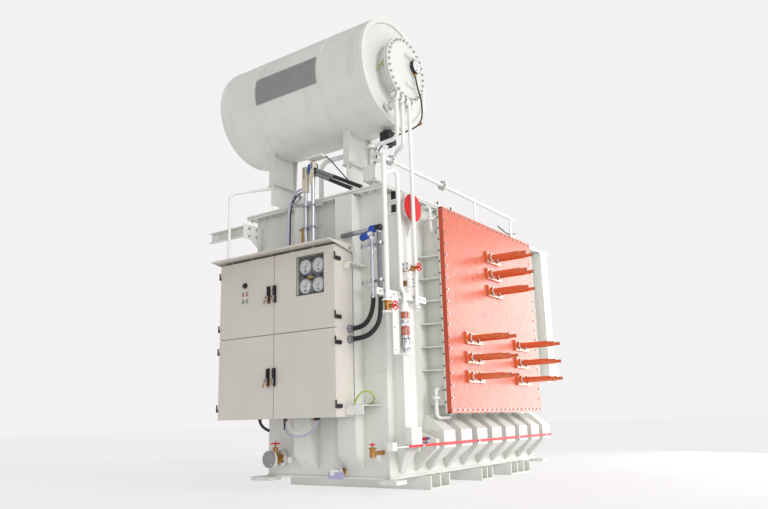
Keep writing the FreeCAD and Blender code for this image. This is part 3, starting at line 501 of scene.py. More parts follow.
def post_windows():
    """Two openings at the top of the corner post, drawn as thin black sheets of painted shade, between white
    tabs.
    """
    dark, tabs = Mesh(), Mesh()
    for z0 in (2828.0, 2980.0):
        # painted shade: a thin black sheet stands for the shadow inside each opening
        dark.box(46, 112, 103.6, 106, z0, z0 + 96)
        tabs.box(40, 122, 84, 106, z0 - 16, z0 - 3)
    dark.done("post_openings_painted_shade", "black", bevel=2)
    tabs.done("post_tabs", "white", bevel=2)


def name_tags():
    """Blank tags on wires beside the valves."""
    m = Mesh()
    m.box(-1298, -1238, -126, -123, 140, 203)
    m.box(-20, 30, -196, -193, 180, 232)
    m.done("valve_tags", "tag", bevel=1)
    Mesh().box(-660, -452, -190, -186, -10, 62).done("drain_tag", "lavender", bevel=1)
    hose("tag_wire_left", [(-1470, -226, 290), (-1400, -180, 285), (-1300, -130, 240), (-1268, -125, 200)],
         1.6, "steel")
    hose("tag_wire_right", [(-75, -190, 300), (-40, -210, 280), (5, -195, 232)], 1.6, "steel")


# ------------------------------------------------------------------ terminal panel
def panel_bolts():
    """Bolts round the board, with nuts on the frame behind, and darker orange strips over the board's edges.
    """
    inset = 34.0
    y0, y1, z0, z1 = PANEL[2] + inset, PANEL[3] - inset, PANEL[4] + inset, PANEL[5] - inset
    places = [(y0, z) for z in spread(z0, z1, 18)] + [(y1, z) for z in spread(z0, z1, 18)]
    places += [(y, z1) for y in spread(y0, y1, 20)[1:-1]] + [(y, z0) for y in spread(y0, y1, 21)[1:-1]]
    m = Mesh()
    for y, z in places:
        m.bolt((PANEL[1], y, z), RIGHT, 22, 13)
        m.bolt((PANEL[0] - 20, y, z), LEFT, 22, 16)
        m.rod((PANEL[0] - 48, y, z), (PANEL[0] - 20, y, z), 6, 8)
    m.done("panel_bolts", "steel")
    edge, lip = Mesh(), 0.7
    y0, y1, z0, z1 = PANEL[2:]
    for a, b, c, d in ((y0, y0 + 10, z0, z1), (y1 - 10, y1, z0, z1), (y0, y1, z0, z0 + 10),
                       (y0, y1, z1 - 10, z1)):
        edge.box(PANEL[0] + 2, PANEL[1] - 2, a - lip, b + lip, c - lip, d + lip)
    edge.done("panel_edge", "board_edge")


TERM_ROWS = [(1975.0, z) for z in (2572.0, 2354.0, 2134.0)]
TERM_ROWS += [(y, z) for y in (1325.0, 2665.0) for z in (1490.0, 1262.0, 1040.0)]


def terminal_details():
    """Plate bolts, the collars' bolt rings, grooves near the tips and a tinned strap below."""
    bolts, seals, strap, grooves, bores = Mesh(), Mesh(), Mesh(), Mesh(), Mesh()
    face = PANEL[1] + 25
    for yc, zc in TERM_ROWS:
        bolts.bolts([(face, y, z) for y in spread(yc - 178, yc + 178, 5) for z in (zc - 50, zc + 50)],
                    RIGHT, 20, 13)
        strap.box(face, face + 7, yc - 196, yc + 196, zc - 69, zc - 32)
        for s in (-100, 100):
            y = yc + s
            seals.washer((face + 28, y, zc), RIGHT, 46, 28, 6, 32)
            bolts.bolt_circle((face + 34, y, zc), RIGHT, 36.5, 8, 9, 6)
            for x in (360, 384):
                grooves.ring((face + x, y, zc), RIGHT, 29.6, 2.4, 28, 6)
            bolts.bolt_circle((face + 418, y, zc), RIGHT, 23.5, 8, 5, 3)
            bores.washer((face + 489, y, zc), RIGHT, 20.5, 13, 2.4, 24)
            bores.disc((face + 488, y, zc), RIGHT, 13, 2.6, 20)
    bolts.done("terminal_bolts", "steel")
    seals.done("terminal_collars", "dial")
    strap.done("terminal_straps", "strap", bevel=1.5)
    grooves.done("terminal_rings", "copper")
    bores.done("terminal_tips", "copper_dark")


def frame_studs():
    """Small dark studs along the inner left edge of the panel frame."""
    m = Mesh()
    for z in spread(PANEL[4] + 120, PANEL[5] - 120, 17):
        m.lathe((262, PANEL[2], z), OUT, [(0, 9), (10, 9), (13, 6)], 10)
    m.done("frame_studs", "dark_steel")


# ------------------------------------------------------------------ control cubicle
DIALS = [(x, z) for x in (-752.0, -566.0) for z in (2242.0, 2025.0)]


def dial_gauge(name, p, direction, radius, pointer_mat, turn):
    """Round gauge: bezel, white face, ticks, pointer and a small plate at the bottom."""
    d = Vector(direction)
    u, w = axes(direction)
    if w.z < 0:
        u, w = -u, -w
    if abs(w.z) < 0.5:
        u, w = (u, w) if abs(w.z) > abs(u.z) else (w, u if u.z > 0 else -u)
    centre = Vector(p)
    Mesh().lathe(centre, d, [(0, radius * 0.93), (3, radius * 0.93)], 48).done(name + "_face", "dial")
    bezel = Mesh().washer(centre - d * 2, direction, radius * 1.0, radius * 0.9, 9, 48)
    bezel.done(name + "_bezel", "steel", bevel=2)
    ticks, front = Mesh(), centre + d * 3
    for k in range(25):
        a = math.radians(-45 + 270 * k / 24)
        out = math.cos(a) * -u + math.sin(a) * w
        side = d.cross(out)
        long = 0.14 if k % 4 == 0 else 0.07
        r0, half = radius * (0.82 - long), (1.6 if k % 4 == 0 else 0.9)
        a0, a1 = front + out * r0, front + out * radius * 0.82
        ticks.prism([a0 - side * half, a0 + side * half, a1 + side * half, a1 - side * half], d * 0.6)
    low = front - w * radius * 0.56
    ticks.lathe(low, d, [(0, radius * 0.16), (1.2, radius * 0.15)], 20)
    ticks.lathe(front - u * radius * 0.42, d, [(0, radius * 0.05), (0.8, radius * 0.05)], 12)
    a = math.radians(turn)
    tip = math.cos(a) * -u + math.sin(a) * w
    side = d.cross(tip)
    mesh = ticks if pointer_mat == "black" else Mesh()
    mesh.prism([front - tip * radius * 0.25 - side * 2.6, front - tip * radius * 0.25 + side * 2.6,
                front + tip * radius * 0.74 + side * 0.8, front + tip * radius * 0.74 - side * 0.8], d * 3)
    ticks.lathe(front, d, [(0, radius * 0.09), (4, radius * 0.08)], 20)
    if mesh is not ticks:
        mesh.done(name + "_pointer", pointer_mat)
    ticks.done(name + "_marks", "black")


def window_instruments():
    """Four dials behind the window with their cases, screws, capillaries and a rubber frame."""
    for k, (x, z) in enumerate(DIALS):
        dial_gauge("dial_%d" % k, (x, FRONT + 39, z), OUT, 85, "black", 128)
        case = Mesh().washer((x, FRONT + 41, z), BACK, 88, 80, 30, 48)
        case.done("dial_case_%d" % k, "grey_case", bevel=1.5)
    m = Mesh().bolts([(x, FRONT + 70, z) for x in spread(-832, -487, 4) for z in (1948.0, 2134.0, 2336.0)],
                     OUT, 12, 7)
    for x, z in ((-700, 2160), (-640, 2118), (-610, 2150)):
        m.rod((x, FRONT + 69, z), (x, FRONT + 30, z), 9, 14)
    m.done("board_screws", "steel")
    blue = Mesh().box(-742, -692, FRONT + 30, FRONT + 68, 2138, 2166)
    blue.rod((-735, FRONT + 44, 2168), (-760, FRONT + 44, 2188), 8, 12)
    blue.done("blue_blocks", "blue", bevel=3)
    Mesh().box(-706, -664, FRONT + 26, FRONT + 60, 2108, 2134).done("yellow_block", "yellow", bevel=3)
    for k, (a, b) in enumerate((((-752, 2160), (-720, 2150)), ((-566, 2160), (-640, 2120)),
                                ((-752, 2108), (-700, 2125)), ((-566, 2108), (-610, 2150)))):
        hose("capillary_%d" % k, [(a[0], FRONT + 52, a[1]), (a[0] + 10, FRONT + 40, (a[1] + b[1]) / 2),
                                  (b[0] + 12, FRONT + 34, b[1] - 6), (b[0], FRONT + 60, b[1])], 3.0, "steel")
    x0, x1, z0, z1 = -847.0, -472.0, 1930.0, 2353.0
    gasket, t = Mesh(), 7.0
    for a, b, c, d in ((x0 - t, x0, z0 - t, z1 + t), (x1, x1 + t, z0 - t, z1 + t), (x0, x1, z0 - t, z0),
                       (x0, x1, z1, z1 + t)):
        gasket.box(a, b, FRONT - 2.5, FRONT + 2, c, d)
    gasket.done("window_gasket", "rubber", "door_upper_right", bevel=1)


def cubicle_controls():
    """Selector switch and four lamps on the upper left door."""
    door = "door_upper_left"
    x, z = -1650.0, 2141.0
    Mesh().lathe((x, FRONT, z), OUT, [(0, 33), (3, 33), (5, 30)], 40).done("selector_plate", "black", door)
    grip = Mesh().box(x - 7, x + 7, FRONT - 40, FRONT - 29, z - 24, z + 26)
    grip.lathe((x, FRONT - 29, z), BACK, [(0, 23), (16, 25)], 32)
    grip.done("selector_grip", "black", "selector_knob", bevel=2.5)
    Mesh().box(x - 1.5, x + 1.5, FRONT - 41, FRONT - 39.5, z + 4, z + 24).done("selector_mark", "dial",
                                                                             "selector_knob")
    rings, tags = Mesh(), Mesh()
    for row, (zl, lens) in enumerate(((2030.0, "lens_red"), (1946.0, "lens_green"))):
        lamp = Mesh()
        for xl in (-1683.0, -1620.0):
            rings.lathe((xl, FRONT, zl), OUT, [(0, 17), (4, 17), (6, 14)], 28)
            lamp.lathe((xl, FRONT - 4, zl), OUT, [(0, 12.5), (4, 12.5), (8, 10), (10, 5), (10.4, 0.0)], 24)
            tags.box(xl - 16, xl + 16, FRONT - 1.6, FRONT, zl + 24, zl + 34)
        ob = lamp.done("lamp_lenses_%d" % row, lens, door)
        if row == 0:
            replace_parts(ob, "lamps")
    rings.done("lamp_rings", "steel", door)
    tags.done("lamp_tags", "black", door, bevel=0.4)


def handle_details():
    """Black grip seat, chrome lock and the brass keys of each swing handle."""
    for side, x in (("left", -1262.0), ("right", -1171.0)):
        for level, z in (("upper", 2070.0), ("lower", 1149.0)):
            door, handle = "door_%s_%s" % (level, side), "handle_%s_%s" % (level, side)
            seat = Mesh().box(x - 16, x + 16, FRONT - 11.5, FRONT - 0.2, z - 182, z + 17)
            seat.done("seat_%s_%s" % (level, side), "black", door, bevel=4)
            lock = Mesh().lathe((x, FRONT - 38, z - 118), OUT, [(0, 12), (5, 12), (7, 9)], 24)
            lock.box(x - 10.6, x + 10.6, FRONT - 39.2, FRONT - 25, z - 166, z - 98)
            lock.done("lock_%s_%s" % (level, side), "steel", handle, bevel=1.5)
            key = Mesh().box(x - 1.5, x + 1.5, FRONT - 62, FRONT - 44, z - 126, z - 110)
            key.washer((x - 1.5, FRONT - 66, z - 118), RIGHT, 13, 5, 3, 20)
            key.ring((x - 6, FRONT - 68, z - 136), (0.3, 1, 0), 15, 1.4, 24, 6)
            for blade in (((-20, 68, 148), (-8, 68, 150), (-22, 66, 196), (-32, 66, 190)),
                          ((-8, 70, 148), (2, 70, 150), (-6, 69, 192), (-14, 69, 190))):
                key.prism([(x + dx, FRONT - dy, z - dz) for dx, dy, dz in blade], (0, -2, 0))
            key.done("keys_%s_%s" % (level, side), "brass", handle, bevel=0.6)


def hinge_covers():
    """Dark barrels over the hinges, and dark seals round the doors."""
    for name in ("door_upper_left", "door_lower_left", "door_upper_right", "door_lower_right"):
        x0, x1, _, _, z0, z1 = span(name)
        px = x0 + 9 if "left" in name else x1 - 9
        m = Mesh()
        for zc in (z0 + 130, z1 - 130):
            m.lathe((px, FRONT - 9, zc + 0.6), UP, [(0, 9.8), (38, 9.8), (42, 6)], 20)
        m.done("hinge_" + name[5:], "black", name)
    m = Mesh().box(-2055, -328, -437.5, -436, 640, 652).box(-2055, -328, -437.5, -436, 2398, 2410)
    m.done("door_seals", "rubber")


def hood_details():
    """Painted shade as a dark box in the vent gap under the hood, rivets along its lip and a screw in its
    cheek.
    """
    x0, x1, y0, y1, z0, z1 = HOOD
    # painted shade: a dark box stands for the shadow in the vent gap under the hood
    Mesh().box(x0 + 70, x1 - 70, -400, y1 - 20, 2431, z1 - 9).done("hood_vent_painted_shade", "dark")
    m = Mesh()
    for x in spread(x0 + 90, x1 - 90, 8):
        m.lathe((x, y0 + 40, z1), UP, [(0, 9), (3, 8), (5, 3), (5.2, 0.0)], 12)
    m.bolt((x1, -240, 2418), RIGHT, 14, 9)
    m.done("hood_rivets", "dark_steel")
    lip = Mesh().box(x0, x1, y0, y0 + 3, z1 - 20, z1 - 7)
    lip.done("hood_lip", "door", bevel=1)


def side_brackets():
    """Bolts and white faces of the angles between the cubicle and the tank."""
    m = Mesh()
    for x in (-290, -240):
        m.bolt((x, -280, 2245), UP, 18, 12)
        m.bolt((x, -312, 690), BACK, 18, 12)
    m.done("bracket_bolts", "steel")
    Mesh().box(-312, -82, -322.5, -320, 640, 735).box(-312, -82, -320, -312, 736, 739).done(
        "bracket_face", "white", bevel=1)
    angle = Mesh().box(CUBICLE_SIDE, -225, -320, -8, 2246, 2249)
    angle.box(CUBICLE_SIDE + 4, -225, -324, -320, 2180, 2249)
    angle.done("upper_angle", "white", bevel=1)


# ------------------------------------------------------------------ conduits, hoses and cables
def conduit_details():
    """Couplings, clamps, boxes and elbow fittings of the conduits."""
    rings, dark = Mesh(), Mesh()
    for x in (-970.0, -857.0):
        for z in (3035.0, 2775.0):
            rings.washer((x, -185, z - 13), UP, 29, 21, 26, 28)
            for s in (-33, 33):
                rings.box(x + s - 7, x + s + 7, -200, -163, z - 9, z + 9)
                rings.bolt((x + s, -200, z), OUT, 15, 10)
    rings.lathe((-857, -185, HOOD_TOP), UP, [(0, 46), (12, 46), (14, 38), (52, 38), (54, 30), (70, 30)], 6)
    rings.lathe((-970, -185, HOOD_TOP), UP, [(0, 40), (10, 40), (12, 34), (44, 34)], 24)
    for z in (2415.0, 2015.0):
        for x in CONDUIT_X:
            rings.washer((x, CONDUIT_Y, z - 14), UP, 32, 23, 28, 28)
            for s in (-38, 38):
                rings.bolt((x + s, -212, z), OUT, 16, 12)
        for x in (-148.0, 148.0):
            dark.box(x - 4, x + 4, -209, -190, z - 18, z + 18)
    for x in CONDUIT_X:
        rings.lathe((x, CONDUIT_Y, 1828), UP, [(0, 33), (30, 33), (34, 28), (52, 28)], 24)
    rings.disc((10, -230, 2496), UP, 34, 40, 8)
    rings.done("conduit_clamps", "steel")
    dark.done("strut_ends", "black")
    struts = Mesh()
    for z in (3035.0, 2775.0):
        struts.box(-1001, -739, -164, -148.5, z - 16, z + 16)
    for z in (2415.0, 2015.0):
        struts.box(-151, 151, -207.5, -191.5, z - 16, z + 16)
    struts.done("strut_rails", "galvanized", bevel=2)
    sleeve = Mesh().rod((-430, -190, 2583), (-90, -212, 2583), 26, 20)
    sleeve.rod((105, -230, 2530), (105, -230, 1880), 26, 20)
    sleeve.done("grey_conduit", "grey")
    blue = Mesh().lathe((-20, -222, 2583), (1, -0.04, 0), [(0, 30), (14, 40), (88, 40), (96, 34)], 28)
    blue.lathe((-130, -236, 2500), (1, 0, 0.22), [(0, 30), (12, 38), (96, 38), (112, 30)], 28)
    blue.done("blue_fittings", "blue")
    black = Mesh().lathe((72, -228, 2583), RIGHT, [(0, 36), (24, 38), (56, 38), (66, 28)], 28)
    black.done("black_fitting", "black")
    hose("white_elbow", [(-30, -238, 2522), (10, -236, 2534), (12, -230, 2510), (10, -230, 2470)],
         30, "white")


def junction_boxes():
    """Beige boxes at the top of the front conduits: dark slots, a blue cover, two sloping sleeves."""
    beige, slots = Mesh(), Mesh()
    for x0, x1, z0, z1 in ((-1003, -937, 3207, 3523), (-888, -826, 3377, 3563)):
        beige.box(x0, x1, -213, -157, z0, z1)
        slots.box(x0 + 26, x0 + 38, -215, -212, (z0 + z1) / 2 + 6, z1 - 12)
        beige.box(x0 + 3, x1 - 3, -216, -212, z0 + 14, (z0 + z1) / 2 - 6)
    beige.box(-888, -840, -209, -161, 3290, 3378)
    beige.done("junction_boxes", "beige", bevel=5)
    slots.done("junction_slots", "black")
    cover = Mesh().lathe((-893, -192, 3448), (-0.1, -1, 0), [(0, 30), (12, 28), (20, 16), (21, 0.0)], 24)
    cover.box(-912, -872, -216, -176, 3420, 3540)
    cover.done("blue_cover", "blue", bevel=8)
    grey, black = Mesh(), Mesh()
    for z, end_x, end_y in ((3468, -236, -59), (3418, -357, -86)):
        a, b = Vector((-829, -185, z)), Vector((end_x, end_y, COVER[5] + 24))
        grey.rod(a + (b - a) * 0.02, a + (b - a) * 0.42, 24, 22)
        black.rod(a + (b - a) * 0.42, b, 23, 22)
        black.rod(a, a + (b - a) * 0.05, 26, 22)
    grey.done("sleeve_grey", "grey")
    black.done("sleeve_black", "rubber")
    Mesh().box(-990, -760, -150, -30, 3640, 3668).done("cable_tray", "paint", bevel=2)
    left = [(-985, -60, 3655), (-900, -80, 3600), (-825, -120, 3520), (-829, -160, 3470)]
    right = [(-760, -60, 3655), (-690, -60, 3590), (-560, -60, 3430), (-440, -60, 3290)]
    hose("thin_lead_left", left, 7, "rubber")
    hose("thin_lead_right", right, 7, "rubber")


def centre_line(pts):
    """Points along a hose's spline, in millimetres."""
    ob = spline("line", pts, 24)
    cu, me = ob.data, bpy.data.meshes.new_from_object(ob)
    line = [v.co.copy() for v in me.vertices]
    bpy.data.objects.remove(ob)
    bpy.data.curves.remove(cu)
    bpy.data.meshes.remove(me)
    return line


def corrugate(name, pts, radius, mat, pitch=11.0):
    """Ridges round a flexible conduit, along its centre line."""
    line, m = centre_line(pts), Mesh()
    walked, next_ridge = 0.0, pitch
    for a, b in zip(line, line[1:]):
        step = (b - a).length
        while step > 1e-6 and walked + step >= next_ridge:
            p = a + (b - a) * ((next_ridge - walked) / step)
            m.ring(p, b - a, radius - 1.0, 3.6, 20, 6)
            next_ridge += pitch
        walked += step
    m.done(name, mat)


def flexible_hoses():
    """The two black hoses into the cubicle's side and the cables held at both ends."""
    first = None
    for k, (x, zg) in enumerate(zip(CONDUIT_X, (1535.0, 1423.0))):
        dx = x - CUBICLE_SIDE
        route = ((34, zg), (34 + dx * 0.42, zg), (dx * 0.84, zg + 85), (dx, zg + 215), (dx, 1850))
        pts = [(CUBICLE_SIDE + step, CONDUIT_Y, z) for step, z in route]
        ob = hose("hose_%d" % k, pts, 23.5, "rubber")
        first = first or ob
        corrugate("hose_ridges_%d" % k, pts, 24.0, "rubber")
        profile = [(0, 44), (10, 44), (12, 38), (40, 38), (44, 32), (62, 32)]
        gland = Mesh().lathe((CUBICLE_SIDE, -230, zg), RIGHT, profile, 8)
        gland.done("hose_gland_%d" % k, "grey")
    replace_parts(first, "flexible_hoses")
    hose("control_bundle", [(-1000, -185, 3262), (-1100, -185, 3275), (-1215, -185, 3150),
                            (-1250, -185, 2960), (-1250, -185, HOOD_TOP)], 14, "lilac")
    hose("bundle_second", [(-1000, -170, 3230), (-1110, -165, 3240), (-1200, -170, 3110), (-1228, -170, 2960),
                           (-1224, -170, 2800), (-1232, -175, HOOD_TOP)], 9, "rubber")
    hose("gauge_lead", [(177, 513, 4660), (179, 533, 4530), (190, 640, 4300), (190, 600, 4040),
                        (130, 420, 3900), (-80, 363, 3855)], 10, "rubber")
    hose("earth_lead", [(-203, -316, 739), (-150, -312, 860), (-40, -240, 880), (-60, -130, 760),
                        (-239, -2, 747)], 9, "earth")
    hose("loop_sleeve", [(-1176, -300, CUBICLE_FLOOR), (-1176, -300, 560), (-1174, -300, 500)], 15, "rubber")
    hose("loop_cable", [(-1176, -300, CUBICLE_FLOOR), (-1176, -300, 470), (-1040, -300, 420),
                        (-850, -300, 440), (-701, -300, 540), (-701, -300, CUBICLE_FLOOR)], 11, "lilac")
    for k, (dx, dz) in enumerate(((-18, 16), (14, -14), (26, 10))):
        pts = [(-1150, -308, 616), (-1130, -312, 500 + dz), (-980, -312, 440 + dz), (-800, -306, 500 + dz),
               (-730, -302, 616)]
        hose("thin_wire_%d" % k, [(x + dx, y, z) for x, y, z in pts], 3, "tag")
    tips = Mesh()
    for x in (-765, -744, -726):
        tips.rod((x, -306, 590), (x, -306, CUBICLE_FLOOR), 5, 10)
    tips.done("wire_tips", "lens_red")
    hose("spare_tube", [(-1560, -300, CUBICLE_FLOOR), (-1560, -300, 540), (-1417, -300, 495)], 16, "rubber")
    hose("earth_strap", [(-5, -28, 4548), (35, 0, 4610), (60, 8, 4665), (90, 50, 4720), (118, 94, 4751)],
         8, "earth")
    for k in range(7):
        r, tilt = 44 + 6 * (k % 4), 0.5 * k
        loop = [(-1150 + r * 1.25 * math.cos(a) + 9 * math.sin(a + tilt),
                 -150 - 5 * k + 14 * math.sin(a * 2 + tilt), 3160 + r * math.sin(a + 0.2 * tilt))
                for a in (2 * math.pi * j / 11 for j in range(13))]
        hose("coil_turn_%d" % k, loop, 5.5, ("steel", "rubber", "lilac")[k % 3])
    glands = Mesh()
    for x, y in ((-1176, -300), (-701, -300), (-1560, -300), (-1150, -308), (-730, -302)):
        glands.lathe((x, y, 620), DOWN, [(0, 24), (8, 24), (10, 19), (26, 18)], 6)
    glands.done("floor_glands", "black")


# ------------------------------------------------------------------ conservator
def conservator_details():
    """Hatch bolts, lifting eyes, weld beads and the level gauge's dial."""
    m = Mesh()
    m.bolt_circle((HATCH[1], CON_Y, CON_Z), RIGHT, 366, 30, 26, 18)
    m.bolt_circle((HATCH[0] - 25, CON_Y, CON_Z), LEFT, 366, 30, 26, 18)
    m.done("hatch_bolts", "steel")
    Mesh().washer((HATCH[0] - 1.5, CON_Y, CON_Z), RIGHT, 397.5, 330, 3, 96).done("hatch_seal", "seal")
    handles = Mesh()
    y = CON_Y + 60
    for z in (CON_Z + 190, CON_Z - 190):
        for s in (-80, 80):
            handles.rod((HATCH[1], y + s, z), (HATCH[1] + 34, y + s, z), 7, 12)
        handles.rod((HATCH[1] + 30, y - 86, z), (HATCH[1] + 30, y + 86, z), 7, 12)
    handles.done("hatch_grips", "white")
    eyes = Mesh()
    for x, y, z in ((SHELL[0] + 170, CON_Y, CON_Z + CON_R), (SHELL[1] - 80, CON_Y, CON_Z + CON_R)):
        eyes.ring((x, y, z + 26), RIGHT, 27, 9, 28, 10)
        eyes.disc((x, y, z - 6), UP, 42, 12, 24)
    eyes.ring((HATCH[0] - 12, CON_Y + 10, CON_Z + 418), RIGHT, 24, 8, 28, 10)
    eyes.done("lifting_eyes", "white")
    seams = Mesh()
    for x in (SHELL[0] + 4, SHELL[0] + 560, SHELL[1] - 620, SHELL[1] - 4):
        seams.ring((x, CON_Y, CON_Z), RIGHT, CON_R, 4.5, 120, 6)
    seams.ring((-23, CON_Y, CON_Z), RIGHT, 334, 6, 64, 6)
    seams.ring((97, CON_Y, CON_Z), RIGHT, 334, 5, 64, 6)
    seams.done("conservator_welds", "paint")
    dial_gauge("level_dial", (GAUGE[1], CON_Y + 150, CON_Z + 85), RIGHT, 84, "lens_red", 60)
    bolts = Mesh().bolt_circle((HATCH[1] + 12, CON_Y + 150, CON_Z + 85), RIGHT, 92, 6, 12, 8)
    bolts.disc((HATCH[1], CON_Y + 150, CON_Z + 85), RIGHT, 102, 12, 40)
    bolts.done("gauge_flange", "white")
    gland = Mesh().lathe((177, 513, 4664), (0, 0.1, -1), [(0, 15), (14, 15), (16, 12), (40, 11)], 8)
    gland.lathe((190, 598, 4035), (0, -0.9, -0.5), [(0, 14), (30, 14), (34, 17), (52, 17)], 8)
    gland.done("gauge_glands", "brass")


def bare_plate():
    """Curved blank plate on the conservator's front, held by rivets."""
    m, lift, half = Mesh(), 5.0, math.radians(14.4)
    rows = []
    for a in spread(-half, half, 17):
        y, z = CON_Y - (CON_R + lift) * math.cos(a), CON_Z + (CON_R + lift) * math.sin(a)
        rows.append([m.bm.verts.new((x, y, z)) for x in (-1690, -695)]
                    + [m.bm.verts.new((x, y + lift, z)) for x in (-695, -1690)])
    for a, b in zip(rows, rows[1:]):
        for k in range(4):
            m.bm.faces.new([a[k], a[(k + 1) % 4], b[(k + 1) % 4], b[k]])
    m.bm.faces.new(rows[0][::-1])
    m.bm.faces.new(rows[-1])
    m.done("blank_plate", "plate", smooth=20)
    rivets = Mesh()
    for x in spread(-1670, -715, 6):
        for a in (-half * 0.9, half * 0.9):
            out = Vector((0, -math.cos(a), math.sin(a)))
            seat = Vector((x, CON_Y, CON_Z)) + out * (CON_R + lift)
            rivets.lathe(seat, out, [(0, 8), (3, 7), (5, 0.0)], 12)
    rivets.done("plate_rivets", "steel")


def saddle_details():
    """Bolts of the saddles on their arms, and of the arms on the cover."""
    m = Mesh()
    for x0 in (-1890.0, -655.0):
        m.bolts([(x0 + dx, y, 3590) for y in (190.0, 540.0) for dx in (25.0, 95.0)], UP, 26, 18)
        m.bolts([(x0 + dx, y, COVER[5] + 12) for dx in (14, 96) for y in (300.0, 760.0)], UP, 26, 18)
        m.bolt((x0 + 62, 180, 3540), RIGHT, 24, 16)
    m.done("saddle_bolts", "steel")


# ------------------------------------------------------------------ pipes and valves
def pipe_flange_bolts():
    """Bolts of the manifold, the oil line and the small flanges; the seals between flange pairs."""
    m, seal = Mesh(), Mesh()
    pairs = [((235, y, 4150), BACK, 22, 46, 15, 10, 56.5) for y in (-45.0, 60.0, 160.0, 275.0)]
    pairs += [((40, y, 3465), BACK, 18, 49, 16, 11, 61) for y in (138.0, 1300.0)]
    pairs.append(((-150, 43, 3640), UP, 18, 49, 16, 11, 61))
    for p, direction, half, radius, size, head, seal_r in pairs:
        p, d = Vector(p), Vector(direction)
        m.bolt_circle(p - d * half, -d, radius, 8, size, head)
        m.bolt_circle(p + d * half, d, radius, 8, size, head)
        seal.washer(p - d, d, seal_r, 30, 2, 40)
    m.bolt_circle((33, 160, 4150), RIGHT, 44, 8, 15, 10)
    m.bolt_circle((-150, 43, COVER[5] + 24), UP, 62, 8, 18, 12)
    m.bolt_circle((275, 198, 1755), UP, 32, 6, 11, 8)
    m.bolt_circle((165, 745, 2888), UP, 35, 6, 12, 8)
    m.bolt_circle((165, 705, 812), UP, 35, 6, 12, 8)
    m.bolt_circle((235, 300, 4150), BACK, 20, 1, 40, 24)
    m.done("flange_bolts", "steel")
    seal.done("flange_seals", "seal")
    relay = Mesh().box(-213, -77, 285, 441, 3772, 3928)
    relay.disc((-150, 363, 3928), UP, 62, 22, 32)
    relay.disc((-150, 363, 3772), DOWN, 62, 22, 32)
    relay.done("relay_body", "dark_steel", bevel=6)
    lid = Mesh().box(-228, -72, -36, -33, 3222, 3398).box(-72.5, -69, -30, 116, 3222, 3398)
    lid.done("relay_box_lid", "paint", bevel=1.5)
    screws = Mesh().bolts([(x, -36, z) for x in (-218, -82) for z in (3234, 3386)], OUT, 10, 6)
    screws.bolts([(-69, y, z) for y in (-20, 106) for z in (3234, 3386)], RIGHT, 10, 6)
    screws.done("relay_box_screws", "steel")
    hose("relay_lead", [(-80, 350, 3830), (-40, 240, 3780), (-40, 120, 3690), (-90, 43, 3560),
                        (-120, 30, 3398)], 9, "rubber")
    hose("run_lead", [(20, 2884, 3264), (40, 3000, 3220), (30, 3200, 3200), (40, 3425, 3252)], 8, "rubber")
    lugs = Mesh()
    for y in (1130.0, 1460.0):
        lugs.disc((48, y, COVER[5] + 60), RIGHT, 22, 4, 20)
    lugs.done("cover_lugs", "seal")


def valve_details():
    """White flanges, bolts and blank covers over the brass valve bodies."""
    white, bolts, grey = Mesh(), Mesh(), Mesh()
    for z in (1765.0 - 9, 1644.0 - 9):
        white.disc((275, -353, z - 0.8), UP, 56, 19.6, 36)
    bolts.bolt_circle((275, -353, 1767), UP, 43, 6, 13, 9)
    bolts.bolt_circle((275, -353, 1633), DOWN, 43, 6, 13, 9)
    white.disc((275, -0.6, 2170), BACK, 50, 23, 40)
    bolts.bolt_circle((275, -1, 2170), OUT, 36, 4, 16, 10, 0.5)
    white.box(242, 260, 71, 175, 1961, 2065)
    bolts.bolts([(260, y, z) for y in (86, 160) for z in (1976, 2013, 2050)], RIGHT, 14, 9)
    for y in (-72.0, -227.0):
        white.disc((-1470, y, 183), BACK, 93, 24, 40)
    grey.disc((-1470, -251, 183), BACK, 93.5, 25, 40)
    bolts.bolt_circle((-1470, -251, 183), OUT, 70, 4, 22, 14, 0.5)
    bolts.bolt_circle((-1470, -72, 183), OUT, 74, 6, 20, 13, 0.5)
    white.disc((-600, -112, 55), BACK, 56, 24, 36)
    white.disc((-600, -201, 55), BACK, 31, 92, 28)
    bolts.bolt_circle((-600, -112, 55), OUT, 42, 6, 12, 8)
    white.disc((41, 4640, 1235), RIGHT, 76, 12, 36)
    bolts.bolt_circle((51, 4640, 1235), RIGHT, 60, 6, 16, 11)
    bolts.lathe((-75, -190, 220), DOWN, [(0, 24), (22, 22)], 6)
    bolts.done("valve_bolts", "steel")
    white.done("valve_flanges", "white", bevel=1.5)
    grey.done("blank_flange", "plate", bevel=2)
    nuts = Mesh()
    for p, d in (((371, -353, 1700), RIGHT), ((367, 130, 2170), RIGHT), ((-1470, -140, 349), UP),
                 ((-75, -190, 338), UP), ((-60, 4746, 1235), BACK)):
        nuts.bolt(Vector(p) + Vector(d) * 11, d, 17, 12)
    nuts.done("wheel_nuts", "steel")


